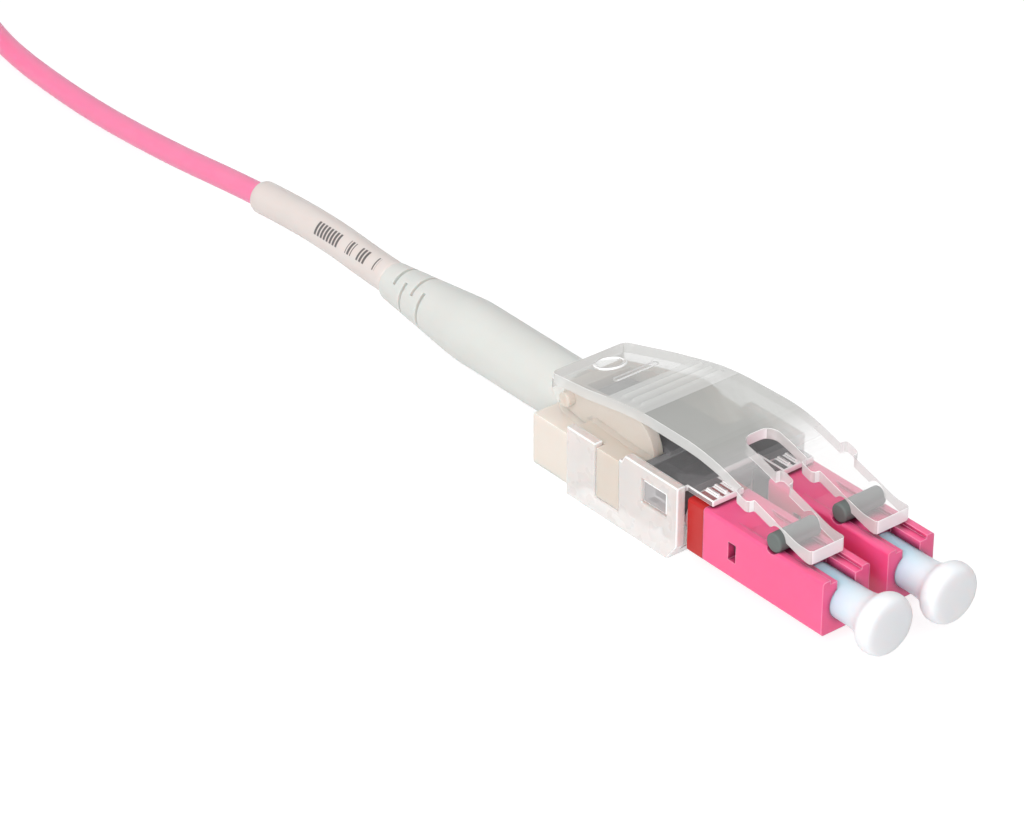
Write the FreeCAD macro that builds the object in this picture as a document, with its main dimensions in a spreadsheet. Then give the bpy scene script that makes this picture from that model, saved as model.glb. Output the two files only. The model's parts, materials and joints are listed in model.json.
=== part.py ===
"""Duplex LC fibre connector with a one-piece clear latch cover, on a round two-fibre cord.

Frame: X runs forward to the plug noses (X = 0), Y to the connector's left, Z up.
Z = 0 is the height of the two plug axes. All sizes are millimetres.
"""
import FreeCAD, Part
import math
import os
import re

import Sketcher
from FreeCAD import Placement, Rotation, Vector

SIZES = {
    # plugs
    "pitch": 6.25,
    "plug_side": 4.45,
    "plug_length": 12.6,
    "plug_edge": 0.25,
    "nose_bore_radius": 1.5,
    "nose_bore_depth": 4.0,
    "web_length": 0.7,
    "web_clearance": 0.22,
    "nose_slot_width": 1.7,
    "nose_slot_length": 3.0,
    "channel_width": 3.0,
    "channel_depth": 0.3,
    "channel_length": 9.6,
    "channel_ramp": 0.8,
    "key_slot_width": 0.8,
    "key_slot_height": 1.5,
    "key_slot_from_rear": 2.7,
    # clearances between fitted pieces
    "fit_gap": 0.02,
    "inner_gap": 0.05,
    "play": 0.1,
    # collars, and the barrels that carry them and the plugs
    "collar_length": 1.7,
    "barrel_radius": 1.5,
    "barrel_clearance": 0.1,
    "barrel_bore_radius": 0.6,
    "barrel_reach": 2.1,
    "barrel_tail": 4.0,
    "barrel_flange_height": 0.4,
    "barrel_flange_length": 0.6,
    # ferrules and springs
    "ferrule_radius": 0.625,
    "ferrule_length": 6.5,
    "ferrule_tip": 0.6,
    "ferrule_chamfer": 0.25,
    "holder_clearance": 0.3,
    "holder_flange_length": 1.6,
    "holder_tail_wall": 0.175,
    "holder_tail_length": 2.1,
    "spring_clearance": 0.25,
    "spring_wire_radius": 0.15,
    "spring_turns": 5,
    "spring_steps": 12,
    "fibre_radius": 0.25,
    "fibre_front": 7.2,
    "fibre_straight": 19.0,
    "fibre_spread": 0.38,
    # dust caps
    "cap_clearance": 0.025,
    "cap_depth": 3.4,
    "cap_neck_length": 3.7,
    "cap_flange_radius": 2.385,
    "cap_flange_length": 1.7,
    "cap_bore_end": 2.2,
    # lower housing, measured back from the collars
    "housing_width": 12.4,
    "housing_wall": 0.8,
    "housing_floor": 0.95,
    "housing_back": 12.7,
    "housing_front": 0.2,
    "rim_back": 6.1,
    "rim_rise": 0.35,
    "rim_slope": 0.3,
    "wall_rise": 0.3,
    "rest_height": 3.3,
    "front_chamfer_length": 1.1,
    "front_chamfer_height": 1.5,
    "window_back": 9.45,
    "window_front": 6.75,
    "window_sill": 0.4,
    "cradle_back": 3.6,
    "cradle_length": 0.8,
    # carrier and deck, measured back from the collars
    "carrier_front": 0.75,
    "carrier_back": 5.6,
    "carrier_floor": 0.3,
    "tray_back": 15.1,
    "tray_height": 0.45,
    "deck_clearance": 0.125,
    "deck_front": 0.6,
    "deck_back": 4.95,
    "deck_thickness": 0.5,
    "tongue_reach": 2.2,
    "tongue_inner": 1.9,
    "tongue_outer": 4.9,
    "comb_setback": 0.2,
    "comb_length": 1.3,
    "comb_width": 0.28,
    "comb_height": 0.23,
    "comb_pitch": 0.75,
    "leg_thickness": 0.4,
    "tab_back": 4.1,
    "tab_front": 1.5,
    "tab_floor": 0.3,
    "tab_top": 2.1,
    "tab_recess": 0.15,
    # yoke, measured back from the collars
    "yoke_front": 5.7,
    "yoke_back": 17.1,
    "yoke_nose_radius": 2.8,
    "yoke_shoulder": 0.4,
    "yoke_wall_length": 1.8,
    "cheek_thickness": 0.9,
    "cheek_drop": 0.2,
    "fibre_room_width": 7.6,
    "fibre_room_height": 1.6,
    "pivot_back": 16.1,
    "pivot_radius": 0.6,
    # rear block, measured back from the collars
    "block_back": 18.1,
    "block_width": 10.4,
    "block_drop": 1.3,
    "block_edge": 0.5,
    "spigot_length": 2.35,
    "spigot_radius": 1.9,
    # latch cover: heights above the yoke's shoulders, lengths back from the collars
    "cover_back": 17.7,
    "cover_back_rise": 1.7,
    "cover_bend_back": 6.9,
    "cover_bend_back_rise": 4.05,
    "cover_bend_front": 1.3,
    "cover_bend_front_rise": 4.2,
    "cover_thickness": 0.9,
    "cover_bend_radius": 7.0,
    "cover_half_back": 3.6,
    "cover_half_middle": 4.3,
    "cover_middle": 12.7,
    "cover_half_front": 4.6,
    "cover_full": 7.7,
    "skirt_thickness": 0.8,
    "skirt_gap": 0.2,
    "skirt_front": 5.0,
    "skirt_nose_radius": 2.6,
    "heel_rise": 0.15,
    # the cover's arms, measured back from the noses
    "arm_half_width": 1.65,
    "arm_thickness": 0.95,
    "tip_back": 3.4,
    "tip_front": 1.95,
    "tip_taper": 0.8,
    "tip_rise": 0.275,
    "tip_thickness": 1.12,
    "window_start": 13.2,
    "window_corner": 0.6,
    "ear_back": 9.3,
    "ear_shoulder": 7.9,
    "ear_front": 7.3,
    "ear_reach": 2.175,
    # ribs across the cover
    "grip_back": 9.1,
    "grip_pitch": 1.05,
    "grip_width": 0.4,
    "grip_height": 0.2,
    "grip_half_length": 4.1,
    # grey bars under the arms
    "bar_radius": 0.75,
    "bar_back": 5.45,
    "bar_rise": 0.525,
    "bar_length": 4.0,
    "bar_room_gap": 0.15,
    "bar_travel": 0.3,
    # boot and crimp, measured back from the collars
    "boot_end": 41.9,
    "boot_taper": 31.7,
    "boot_radius": 2.65,
    "boot_front_radius": 2.6,
    "boot_end_radius": 1.6,
    "boot_bore_gap": 0.1,
    "boot_room_end": 23.9,
    "boot_edge": 0.35,
    "slot_from_end": 1.8,
    "slot_pitch": 1.25,
    "slot_width": 0.35,
    "slot_depth": 0.45,
    "slot_angle": 110.0,
    "crimp_front": 13.2,
    "crimp_end": 21.7,
    "crimp_radius": 1.22,
    "crimp_bore_radius": 0.8,
    "ring_wall": 0.33,
    "ring_front": 18.7,
    "ring_end": 23.2,
    # cord, its printed sleeve and its put-away hank
    "cord_radius": 1.0,
    "sleeve_wall": 0.43,
    "sleeve_front": 56.3,
    "sleeve_back": 74.8,
    "hank_run": 39.4,
    "hank_outer": 11.0,
    "hank_inner": 5.0,
    "hank_height": 12.0,
    "hank_x": -151.5,
    "hank_y": -4.8,
    "tie_thickness": 0.5,
    "tie_width": 5.0,
    # far-end connector
    "far_x": -248.0,
    "far_y": -1.0,
}

# Heights and lengths that several pieces share, as expressions on the sizes above.
COLLAR_BACK = "(plug_length + collar_length)"
PLUG_TOP = "(plug_side / 2)"
CHAMBER = "(barrel_radius + barrel_clearance)"
FLOOR_TOP = "(housing_floor - rest_height)"
DECK_FLOOR = "(plug_side / 2 + deck_clearance)"
YOKE_TOP = "(plug_side / 2 + deck_clearance - inner_gap)"
BLOCK_TOP = f"({YOKE_TOP} - block_drop)"
INNER_WIDTH = "(housing_width - 2 * housing_wall)"
COVER_BACK = f"({YOKE_TOP} + cover_back_rise)"
BEND_BACK = f"({YOKE_TOP} + cover_bend_back_rise)"
BEND_FRONT = f"({YOKE_TOP} + cover_bend_front_rise)"
BAR_HEIGHT = f"({PLUG_TOP} + bar_rise)"
TIP_FLOOR = f"({PLUG_TOP} + tip_rise)"
RING_RADIUS = "(crimp_radius + ring_wall)"

# Free route of the cord, from the crimp to the hank. Points chosen by hand.
CORD_ROUTE = [
    (-36.0, 0.0, 0.0),
    (-56.2, 0.0, 0.0),
    (-66.2, 0.75, 0.1),
    (-76.4, 0.5, -0.3),
    (-88.5, 0.15, -1.4),
    (-101.5, 0.2, -2.1),
    (-116.3, 0.85, -1.75),
    (-128.4, 5.1, -1.7),
    (-141.0, 5.1, -1.7),
]
# Free route of the cord's tail, from the top of the hank to the far connector.
TAIL_ROUTE = [
    (-163.0, 5.1, 8.1),
    (-177.1, 5.1, 8.1),
    (-185.2, -1.0, 0.0),
    (-210.5, -1.0, 0.0),
]

doc = FreeCAD.newDocument("lc_connector")
sheet = doc.addObject("Spreadsheet::Sheet", "dims")
for row, (alias, number) in enumerate(SIZES.items(), start=1):
    sheet.set(f"A{row}", alias)
    sheet.set(f"B{row}", str(number))
    sheet.setAlias(f"B{row}", alias)
doc.recompute()

nodes = []
NEAR, FAR = "", "far_"
GUESS = 9


def size(alias):
    """A driving dimension, read back from the sheet."""
    return float(getattr(sheet, alias))


def ex(text):
    """An expression on the sheet's aliases, as the document writes it."""
    return re.sub(r"[a-z][a-z_]*", lambda word: "dims." + word.group(), str(text))


def value(text):
    """What an expression on the sheet's aliases comes to."""
    return float(sheet.evalExpression(ex(text)))


def keep(item, name, end=NEAR, x="0", y="0"):
    """Makes an object the node of that name; x and y place its own frame on that end."""
    item.Label = end + name
    if end == FAR:
        item.Placement = Placement(Vector(), Rotation(Vector(0, 0, 1), 180))
        x, y = f"far_x - ({x})", f"far_y - ({y})"
    item.setExpression("Placement.Base.x", ex(x))
    item.setExpression("Placement.Base.y", ex(y))
    nodes.append(item)


def keep_pair(make, name, end=NEAR):
    """Makes a piece twice, on the right plug's axis and on the left one's."""
    for word, sign in (("right", "-"), ("left", "")):
        keep(make(f"{end}{name}_{word}"), f"{name}_{word}", end, y=sign + "pitch / 2")


def keep_behind(make, name, end=NEAR):
    """Makes a piece whose own frame starts at the collars' rear faces."""
    keep(make(end + name), name, end, x="-" + COLLAR_BACK)


def new_body(name):
    return doc.addObject("PartDesign::Body", name + "_body")


def sketch_on(body, plane, outlines, offset="0"):
    """A sketch of closed straight outlines; every corner is a pair of expressions."""
    sketch = body.newObject("Sketcher::SketchObject", "outline")
    origin = [item for item in body.Origin.OriginFeatures if item.Role == plane]
    sketch.AttachmentSupport = (origin[0], [""])
    sketch.MapMode = "FlatFace"
    sketch.setExpression(".AttachmentOffset.Base.z", ex(offset))
    first = 0
    for corners in outlines:
        count = len(corners)
        turns = [math.tau * i / count for i in range(count)]
        spots = [Vector(math.cos(turn), math.sin(turn), 0) * GUESS for turn in turns]
        for i in range(count):
            sketch.addGeometry(Part.LineSegment(spots[i], spots[(i + 1) % count]))
        for i, corner in enumerate(corners):
            here, before = first + i, first + (i - 1) % count
            sketch.addConstraint(Sketcher.Constraint("Coincident", before, 2, here, 1))
            for kind, start, text in zip(("DistanceX", "DistanceY"), spots[i], corner):
                made = sketch.addConstraint(Sketcher.Constraint(kind, -1, 1, here, 1, start))
                sketch.setExpression(f"Constraints[{made}]", ex(text))
        first += count
    return sketch


def circle_on(body, plane, middle, radius):
    """A sketch of one circle; its middle and radius are expressions."""
    sketch = sketch_on(body, plane, [])
    sketch.addGeometry(Part.Circle(Vector(1, 1, 0), Vector(0, 0, 1), 1))
    for kind, text in zip(("DistanceX", "DistanceY"), middle):
        made = sketch.addConstraint(Sketcher.Constraint(kind, -1, 1, 0, 3, 1))
        sketch.setExpression(f"Constraints[{made}]", ex(text))
    made = sketch.addConstraint(Sketcher.Constraint("Radius", 0, 1))
    sketch.setExpression(f"Constraints[{made}]", ex(radius))
    return sketch


def extrude(body, kind, sketch, length, both=True):
    """Pads or pockets a sketch, evenly to both sides of its plane or upwards only."""
    feature = body.newObject("PartDesign::" + kind, kind.lower())
    feature.Profile = sketch
    feature.SideType = "Symmetric" if both else "One side"
    feature.setExpression("Length", ex(length))


def turn(body, kind, outline, angle="360", plane="XZ_Plane"):
    """Revolves or grooves an outline round the X axis, evenly to both sides of its plane."""
    sketch = sketch_on(body, plane, [outline])
    feature = body.newObject("PartDesign::" + kind, kind.lower())
    feature.Profile = sketch
    feature.ReferenceAxis = (sketch, ["H_Axis"])
    feature.Midplane = True
    feature.setExpression("Angle", ex(angle))


def side_cut(body, outline, width):
    """Pockets a side outline through the middle, that wide."""
    extrude(body, "Pocket", sketch_on(body, "XZ_Plane", [outline]), width)


def side_pad(body, outline, width):
    """Pads a side outline about the middle, that wide."""
    extrude(body, "Pad", sketch_on(body, "XZ_Plane", [outline]), width)


def box_of(back, front, low, high):
    """Corners of a rectangle from its limits."""
    return [(back, low), (front, low), (front, high), (back, high)]


def mirrored(left):
    """A closed outline from its left half, with the same corners on the right."""
    return left + [(x, f"-({y})") for x, y in reversed(left)]


def trim_plan(body, left):
    """Cuts away everything outside a plan outline, given by its left half."""
    around = mirrored([("-2 * block_back", "housing_width"), ("block_back", "housing_width")])
    ring = sketch_on(body, "XY_Plane", [mirrored(left), around])
    extrude(body, "Pocket", ring, "4 * housing_width")


def hollow_plan(body, left):
    """Cuts away everything inside a plan outline, given by its left half."""
    inside = sketch_on(body, "XY_Plane", [mirrored(left)])
    extrude(body, "Pocket", inside, "4 * housing_width")


def soften(body, radius, test):
    """Rounds the edges of the body's tip whose two ends and middle pass the test."""
    doc.recompute()
    base = body.Tip
    names = []
    for number, edge in enumerate(base.Shape.Edges, start=1):
        middle = edge.valueAt((edge.FirstParameter + edge.LastParameter) / 2)
        if all(test(spot) for spot in [vertex.Point for vertex in edge.Vertexes] + [middle]):
            names.append(f"Edge{number}")
    fillet = body.newObject("PartDesign::Fillet", "fillet")
    fillet.Base = (base, names)
    fillet.setExpression("Radius", ex(radius))


def near(number, target, slack=0.01):
    return abs(number - target) < slack


def off_axis(spot):
    """Distance from the X axis."""
    return math.hypot(spot.y, spot.z)


def square_bar(body, back, front):
    """A plug's square section between two limits, with its long edges rounded."""
    side_pad(body, box_of(back, front, "-" + PLUG_TOP, PLUG_TOP), "plug_side")
    half = value(PLUG_TOP)
    soften(body, "plug_edge", lambda spot: near(abs(spot.y), half) and near(abs(spot.z), half))


# ------------------------------------------------------ plugs and collars


def make_plug(name):
    """Square plug body with a stepped bore, a nose slot, a top channel and key slots."""
    body = new_body(name)
    square_bar(body, "-plug_length", "0")
    web_back = "-(nose_bore_depth + web_length)"
    bore = [
        ("-plug_length - play", "0"),
        ("play", "0"),
        ("play", "nose_bore_radius"),
        ("-nose_bore_depth", "nose_bore_radius"),
        ("-nose_bore_depth", "ferrule_radius + web_clearance"),
        (web_back, "ferrule_radius + web_clearance"),
        (web_back, CHAMBER),
        ("-plug_length - play", CHAMBER),
    ]
    turn(body, "Groove", bore)
    side_cut(body, box_of("-nose_slot_length", "play", "0", "plug_side"), "nose_slot_width")
    channel = [
        ("-channel_length", PLUG_TOP),
        ("-channel_length + channel_ramp", PLUG_TOP + " - channel_depth"),
        ("play", PLUG_TOP + " - channel_depth"),
        ("play", "plug_side"),
        ("-channel_length", "plug_side"),
    ]
    side_cut(body, channel, "channel_width")
    key_back = "-plug_length + key_slot_from_rear"
    key_top = "key_slot_height / 2"
    side_cut(body, box_of(key_back, key_back + " + key_slot_width", "-" + key_top, key_top), "2 * plug_side")
    seat = circle_on(body, "XZ_Plane", ("-bar_back", BAR_HEIGHT), "bar_radius + fit_gap")
    extrude(body, "Pocket", seat, "2 * plug_side")
    return body


def make_collar(name):
    """Coloured polarity collar between the plug and the housing."""
    body = new_body(name)
    square_bar(body, "-" + COLLAR_BACK, "-plug_length")
    turn(body, "Groove", box_of("-" + COLLAR_BACK + " - play", "0", "0", "barrel_radius + fit_gap"))
    return body


def make_barrel(name):
    """Tube that carries the plug and the collar, and backs the spring."""
    body = new_body(name)
    tail = f"-({COLLAR_BACK} + barrel_tail)"
    flange_back = f"-({COLLAR_BACK} + barrel_flange_length)"
    flange = "barrel_radius + barrel_flange_height"
    outline = [
        (tail, "barrel_bore_radius"),
        ("-plug_length + barrel_reach", "barrel_bore_radius"),
        ("-plug_length + barrel_reach", "barrel_radius"),
        ("-" + COLLAR_BACK, "barrel_radius"),
        ("-" + COLLAR_BACK, flange),
        (flange_back, flange),
        (flange_back, "barrel_radius"),
        (tail, "barrel_radius"),
    ]
    turn(body, "Revolution", outline)
    return body


def make_latch_bar(name):
    """Grey bar across the plug, under the arm."""
    body = new_body(name)
    section = circle_on(body, "XZ_Plane", ("-bar_back", BAR_HEIGHT), "bar_radius")
    extrude(body, "Pad", section, "bar_length")
    return body


def make_dust_cap(name):
    """Soft cap: a tube over the ferrule, a necked grip and a round flange."""
    body = new_body(name)
    end = "cap_neck_length + cap_flange_length"
    tube = "nose_bore_radius - cap_clearance"
    outline = [
        ("-cap_depth", "ferrule_radius + fit_gap"),
        ("cap_bore_end", "ferrule_radius + fit_gap"),
        ("cap_bore_end", "0"),
        (end, "0"),
        (end, "cap_flange_radius"),
        ("cap_neck_length", "cap_flange_radius"),
        ("cap_neck_length", tube),
        ("-cap_depth", tube),
    ]
    turn(body, "Revolution", outline)
    rim, root, neck = size("cap_flange_radius"), value(tube), size("cap_neck_length")
    soften(body, "cap_flange_length * 0.45", lambda spot: near(off_axis(spot), rim))
    in_neck = lambda spot: near(spot.x, neck) and near(off_axis(spot), root)
    soften(body, f"(cap_flange_radius - ({tube})) * 0.5", in_neck)
    return body


# ---------------------------------------------------- ferrules and springs


def make_ferrule(name):
    """Ceramic ferrule with a chamfered tip."""
    body = new_body(name)
    back = "ferrule_tip - ferrule_length"
    outline = [
        (back, "0"),
        ("ferrule_tip", "0"),
        ("ferrule_tip", "ferrule_radius - ferrule_chamfer"),
        ("ferrule_tip - ferrule_chamfer", "ferrule_radius"),
        (back, "ferrule_radius"),
    ]
    turn(body, "Revolution", outline)
    return body


def make_holder(name):
    """Metal holder pressed on the ferrule; its flange stops on the plug's web."""
    body = new_body(name)
    front = "-(nose_bore_depth + web_length)"
    step = front + " - holder_flange_length"
    back = step + " - holder_tail_length"
    seat = "ferrule_tip - ferrule_length"
    bore = "fibre_radius + inner_gap"
    outline = [
        (front, "ferrule_radius"),
        (front, CHAMBER + " - holder_clearance"),
        (step, CHAMBER + " - holder_clearance"),
        (step, "ferrule_radius + holder_tail_wall"),
        (back, "ferrule_radius + holder_tail_wall"),
        (back, bore),
        (seat, bore),
        (seat, "ferrule_radius"),
    ]
    turn(body, "Revolution", outline)
    return body


def make_spring(name):
    """Coil spring between the holder's flange and the barrel, with flats around its wire."""
    wire = size("spring_wire_radius")
    radius = value(CHAMBER + " - spring_clearance - spring_wire_radius")
    back = value("plug_length - barrel_reach - inner_gap - spring_wire_radius")
    front = value("nose_bore_depth + web_length + holder_flange_length + inner_gap") + wire
    per_turn = size("spring_steps")
    steps = round(size("spring_turns") * per_turn)
    line = []
    for step in range(steps + 1):
        turned = math.tau * step / per_turn
        rise = (back - front) * step / steps
        line.append(Vector(rise - back, radius * math.cos(turned), radius * math.sin(turned)))
    section = wire_section(line[0], line[1] - line[0], wire)
    coil = Part.makePolygon(line).makePipeShell([section], True, False, 1)
    return shape_object(name, Part.makeCompound([coil]))


def wire_section(middle, along, radius):
    """Regular octagon around a point, square to the direction along."""
    turning = Rotation(Vector(1, 0, 0), along)
    corners = []
    for step in range(8):
        spoke = Vector(0, radius * math.cos(math.tau * step / 8), radius * math.sin(math.tau * step / 8))
        corners.append(middle + turning.multVec(spoke))
    return Part.makePolygon(corners + [corners[0]])


# -------------------------------------------------- shells behind the collars


def make_housing(name):
    """Clear lower tray: floor, two side walls with latch windows, and a barrel cradle."""
    body = new_body(name)
    rim = DECK_FLOOR + " + deck_thickness + rim_rise"
    wall = YOKE_TOP + " + wall_rise"
    outline = [
        ("-housing_back", "-rest_height"),
        ("-housing_front - front_chamfer_length", "-rest_height"),
        ("-housing_front", "-rest_height + front_chamfer_height"),
        ("-housing_front", rim),
        ("-rim_back", rim),
        ("-rim_back - rim_slope", wall),
        ("-housing_back", wall),
    ]
    side_pad(body, outline, "housing_width")
    above = "2 * rest_height"
    side_cut(body, box_of("-housing_back - play", "play", FLOOR_TOP, above), INNER_WIDTH)
    sill = FLOOR_TOP + " + window_sill"
    side_cut(body, box_of("-window_back", "-window_front", sill, above), "2 * housing_width")
    side_cut(body, tab_outline("play"), "2 * housing_width")
    cradle = box_of("-cradle_back", "-cradle_back + cradle_length", FLOOR_TOP + " - play", "0")
    side_pad(body, cradle, INNER_WIDTH + " + play")
    cut_saddles(body)
    return body


def tab_outline(room="0"):
    """Side outline of the deck's snap tabs, with room round them for the wall's windows."""
    back, front = f"-tab_back - {room}", f"-tab_front + {room}"
    return box_of(back, front, f"tab_floor - {room}", f"tab_top + {room}")


def cut_saddles(body):
    """Cuts the two barrels' seats lengthwise through a piece."""
    for sign in ("-", ""):
        middle = (sign + "pitch / 2", "0")
        seat = circle_on(body, "YZ_Plane", middle, "barrel_radius + fit_gap")
        extrude(body, "Pocket", seat, "4 * block_back")


def make_deck(name):
    """Clear plate over the carrier, with snap tabs and two combed tongues over the collars."""
    body = new_body(name)
    half = INNER_WIDTH + " / 2 - inner_gap"
    left = [
        ("-deck_back", half),
        ("-deck_front", half),
        ("-deck_front", "tongue_outer"),
        ("tongue_reach", "tongue_outer"),
        ("tongue_reach", "tongue_inner"),
        ("-deck_front", "tongue_inner"),
    ]
    plate = sketch_on(body, "XY_Plane", [mirrored(left)], DECK_FLOOR)
    extrude(body, "Pad", plate, "deck_thickness", both=False)
    legs = box_of("-tab_back", "-tab_front", "tab_floor", DECK_FLOOR + " + inner_gap")
    side_pad(body, legs, f"2 * ({half})")
    side_pad(body, tab_outline(), "housing_width - 2 * tab_recess")
    between = box_of("-tab_back - play", "-tab_front + play", "tab_floor - play", DECK_FLOOR)
    side_cut(body, between, f"2 * ({half} - leg_thickness)")
    comb_front = "tongue_reach - comb_setback"
    for sign in ("-", ""):
        for step in (-1, 0, 1):
            middle = f"{sign}((tongue_inner + tongue_outer) / 2 + {step} * comb_pitch)"
            sides = (middle + " - comb_width / 2", middle + " + comb_width / 2")
            rib = box_of(comb_front + " - comb_length", comb_front, *sides)
            comb = sketch_on(body, "XY_Plane", [rib], DECK_FLOOR + " + deck_thickness - inner_gap")
            extrude(body, "Pad", comb, "comb_height + inner_gap", both=False)
    return body


def make_carrier(name):
    """Dark saddle that clamps the barrels, with a tray back between the yoke's cheeks."""
    body = new_body(name)
    block = box_of("-carrier_back", "-carrier_front", "carrier_floor", DECK_FLOOR)
    side_pad(body, block, INNER_WIDTH + " - 4 * inner_gap")
    cut_saddles(body)
    cut_leg_notches(body)
    inset = "(skirt_thickness + 2 * play + cheek_thickness)"
    left = [
        ("-deck_back - inner_gap", "cover_half_front - " + inset),
        ("-cover_full", "cover_half_front - " + inset),
        ("-cover_middle", "cover_half_middle - " + inset),
        ("-tray_back", "cover_half_back - " + inset),
    ]
    tray = sketch_on(body, "XY_Plane", [mirrored(left)], YOKE_TOP)
    extrude(body, "Pad", tray, "tray_height", both=False)
    return body


def cut_leg_notches(body):
    """Cuts the carrier's sides away where the deck's legs go down."""
    inner = INNER_WIDTH + " / 2 - 2 * inner_gap - leg_thickness"
    for sign in ("", "-"):
        near_side, far_side = f"{sign}({inner})", sign + "housing_width"
        notch = box_of("-tab_back - play", "-tab_front + play", near_side, far_side)
        extrude(body, "Pocket", sketch_on(body, "XY_Plane", [notch]), "4 * rest_height")


def cover_plan(inset, back="block_back"):
    """Left edge of the cover's plan, drawn in by an inset, from the rear to the front."""
    slope = "(cover_half_middle - cover_half_back) / (cover_back - cover_middle)"
    return [
        ("-" + back, f"cover_half_middle - ({back} - cover_middle) * {slope} - ({inset})"),
        ("-cover_middle", f"cover_half_middle - ({inset})"),
        ("-cover_full", f"cover_half_front - ({inset})"),
        ("0", f"cover_half_front - ({inset})"),
    ]


def underside(x):
    """Height of the cover's underside on its rear slope at some x, as an expression."""
    rise = "(cover_bend_back_rise - cover_back_rise) / (cover_back - cover_bend_back)"
    return f"({COVER_BACK} - cover_thickness + ({x} + cover_back) * {rise})"


def round_nose(body, x, radius):
    """Rounds the upper front corner of a side outline that ends at x."""
    front, low = value(x), value(YOKE_TOP) + 1
    soften(body, radius, lambda spot: near(spot.x, front) and spot.z > low)


def make_yoke(name):
    """Cream body: two rounded cheeks under the cover on a block that snaps into the tray."""
    body = new_body(name)
    block_back = "-housing_back + play"
    shoulder = YOKE_TOP + " - yoke_shoulder"
    ledge = BLOCK_TOP + " + inner_gap"
    bend = "(-yoke_front - yoke_nose_radius - play)"
    outline = [
        ("-yoke_back", ledge),
        (block_back, ledge),
        (block_back, shoulder),
        ("-yoke_front", shoulder),
        ("-yoke_front", underside(bend) + " - cheek_drop"),
        (bend, underside(bend) + " - cheek_drop"),
        ("-yoke_back", underside("(-yoke_back)") + " - cheek_drop"),
    ]
    side_pad(body, outline, "housing_width")
    round_nose(body, "-yoke_front", "yoke_nose_radius")
    trim_plan(body, cover_plan("skirt_thickness + play"))
    inset = "skirt_thickness + play + cheek_thickness"
    hollow_plan(body, cover_plan(inset, "(yoke_back - yoke_wall_length)"))
    low = FLOOR_TOP + " + inner_gap"
    side_pad(body, box_of(block_back, "-yoke_front", low, YOKE_TOP), INNER_WIDTH + " - 4 * inner_gap")
    sill = FLOOR_TOP + " + window_sill + play"
    latch = box_of("-window_back + play", "-window_front - play", sill, YOKE_TOP)
    side_pad(body, latch, "housing_width - 4 * inner_gap")
    height = "fibre_room_height / 2"
    side_cut(body, box_of("-housing_back - play", "0", "-" + height, height), "fibre_room_width")
    pivot = circle_on(body, "XZ_Plane", ("-pivot_back", YOKE_TOP), "pivot_radius")
    extrude(body, "Pad", pivot, "2 * cover_half_back")
    turn(body, "Groove", spigot_bore())
    return body


def spigot_bore():
    """Half section of the stepped bore that takes the boot's spigot and the crimp body."""
    step = "-block_back + spigot_length"
    return [
        ("-block_back - play", "0"),
        ("-housing_back + 2 * play", "0"),
        ("-housing_back + 2 * play", "crimp_radius + fit_gap"),
        (step, "crimp_radius + fit_gap"),
        (step, "spigot_radius + fit_gap"),
        ("-block_back - play", "spigot_radius + fit_gap"),
    ]


def make_rear_block(name):
    """Rear shell under the yoke that holds the boot and the crimp body."""
    body = new_body(name)
    block = box_of("-block_back", "-housing_back - inner_gap", "-rest_height", BLOCK_TOP)
    side_pad(body, block, "block_width")
    back = -size("block_back")
    soften(body, "block_edge", lambda spot: near(spot.x, back))
    turn(body, "Groove", spigot_bore())
    return body


# ---------------------------------------------------------- latch cover


def behind(distance):
    """A distance back from the noses, in the frame that starts at the collars' backs."""
    return f"({COLLAR_BACK} - {distance})"


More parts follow.
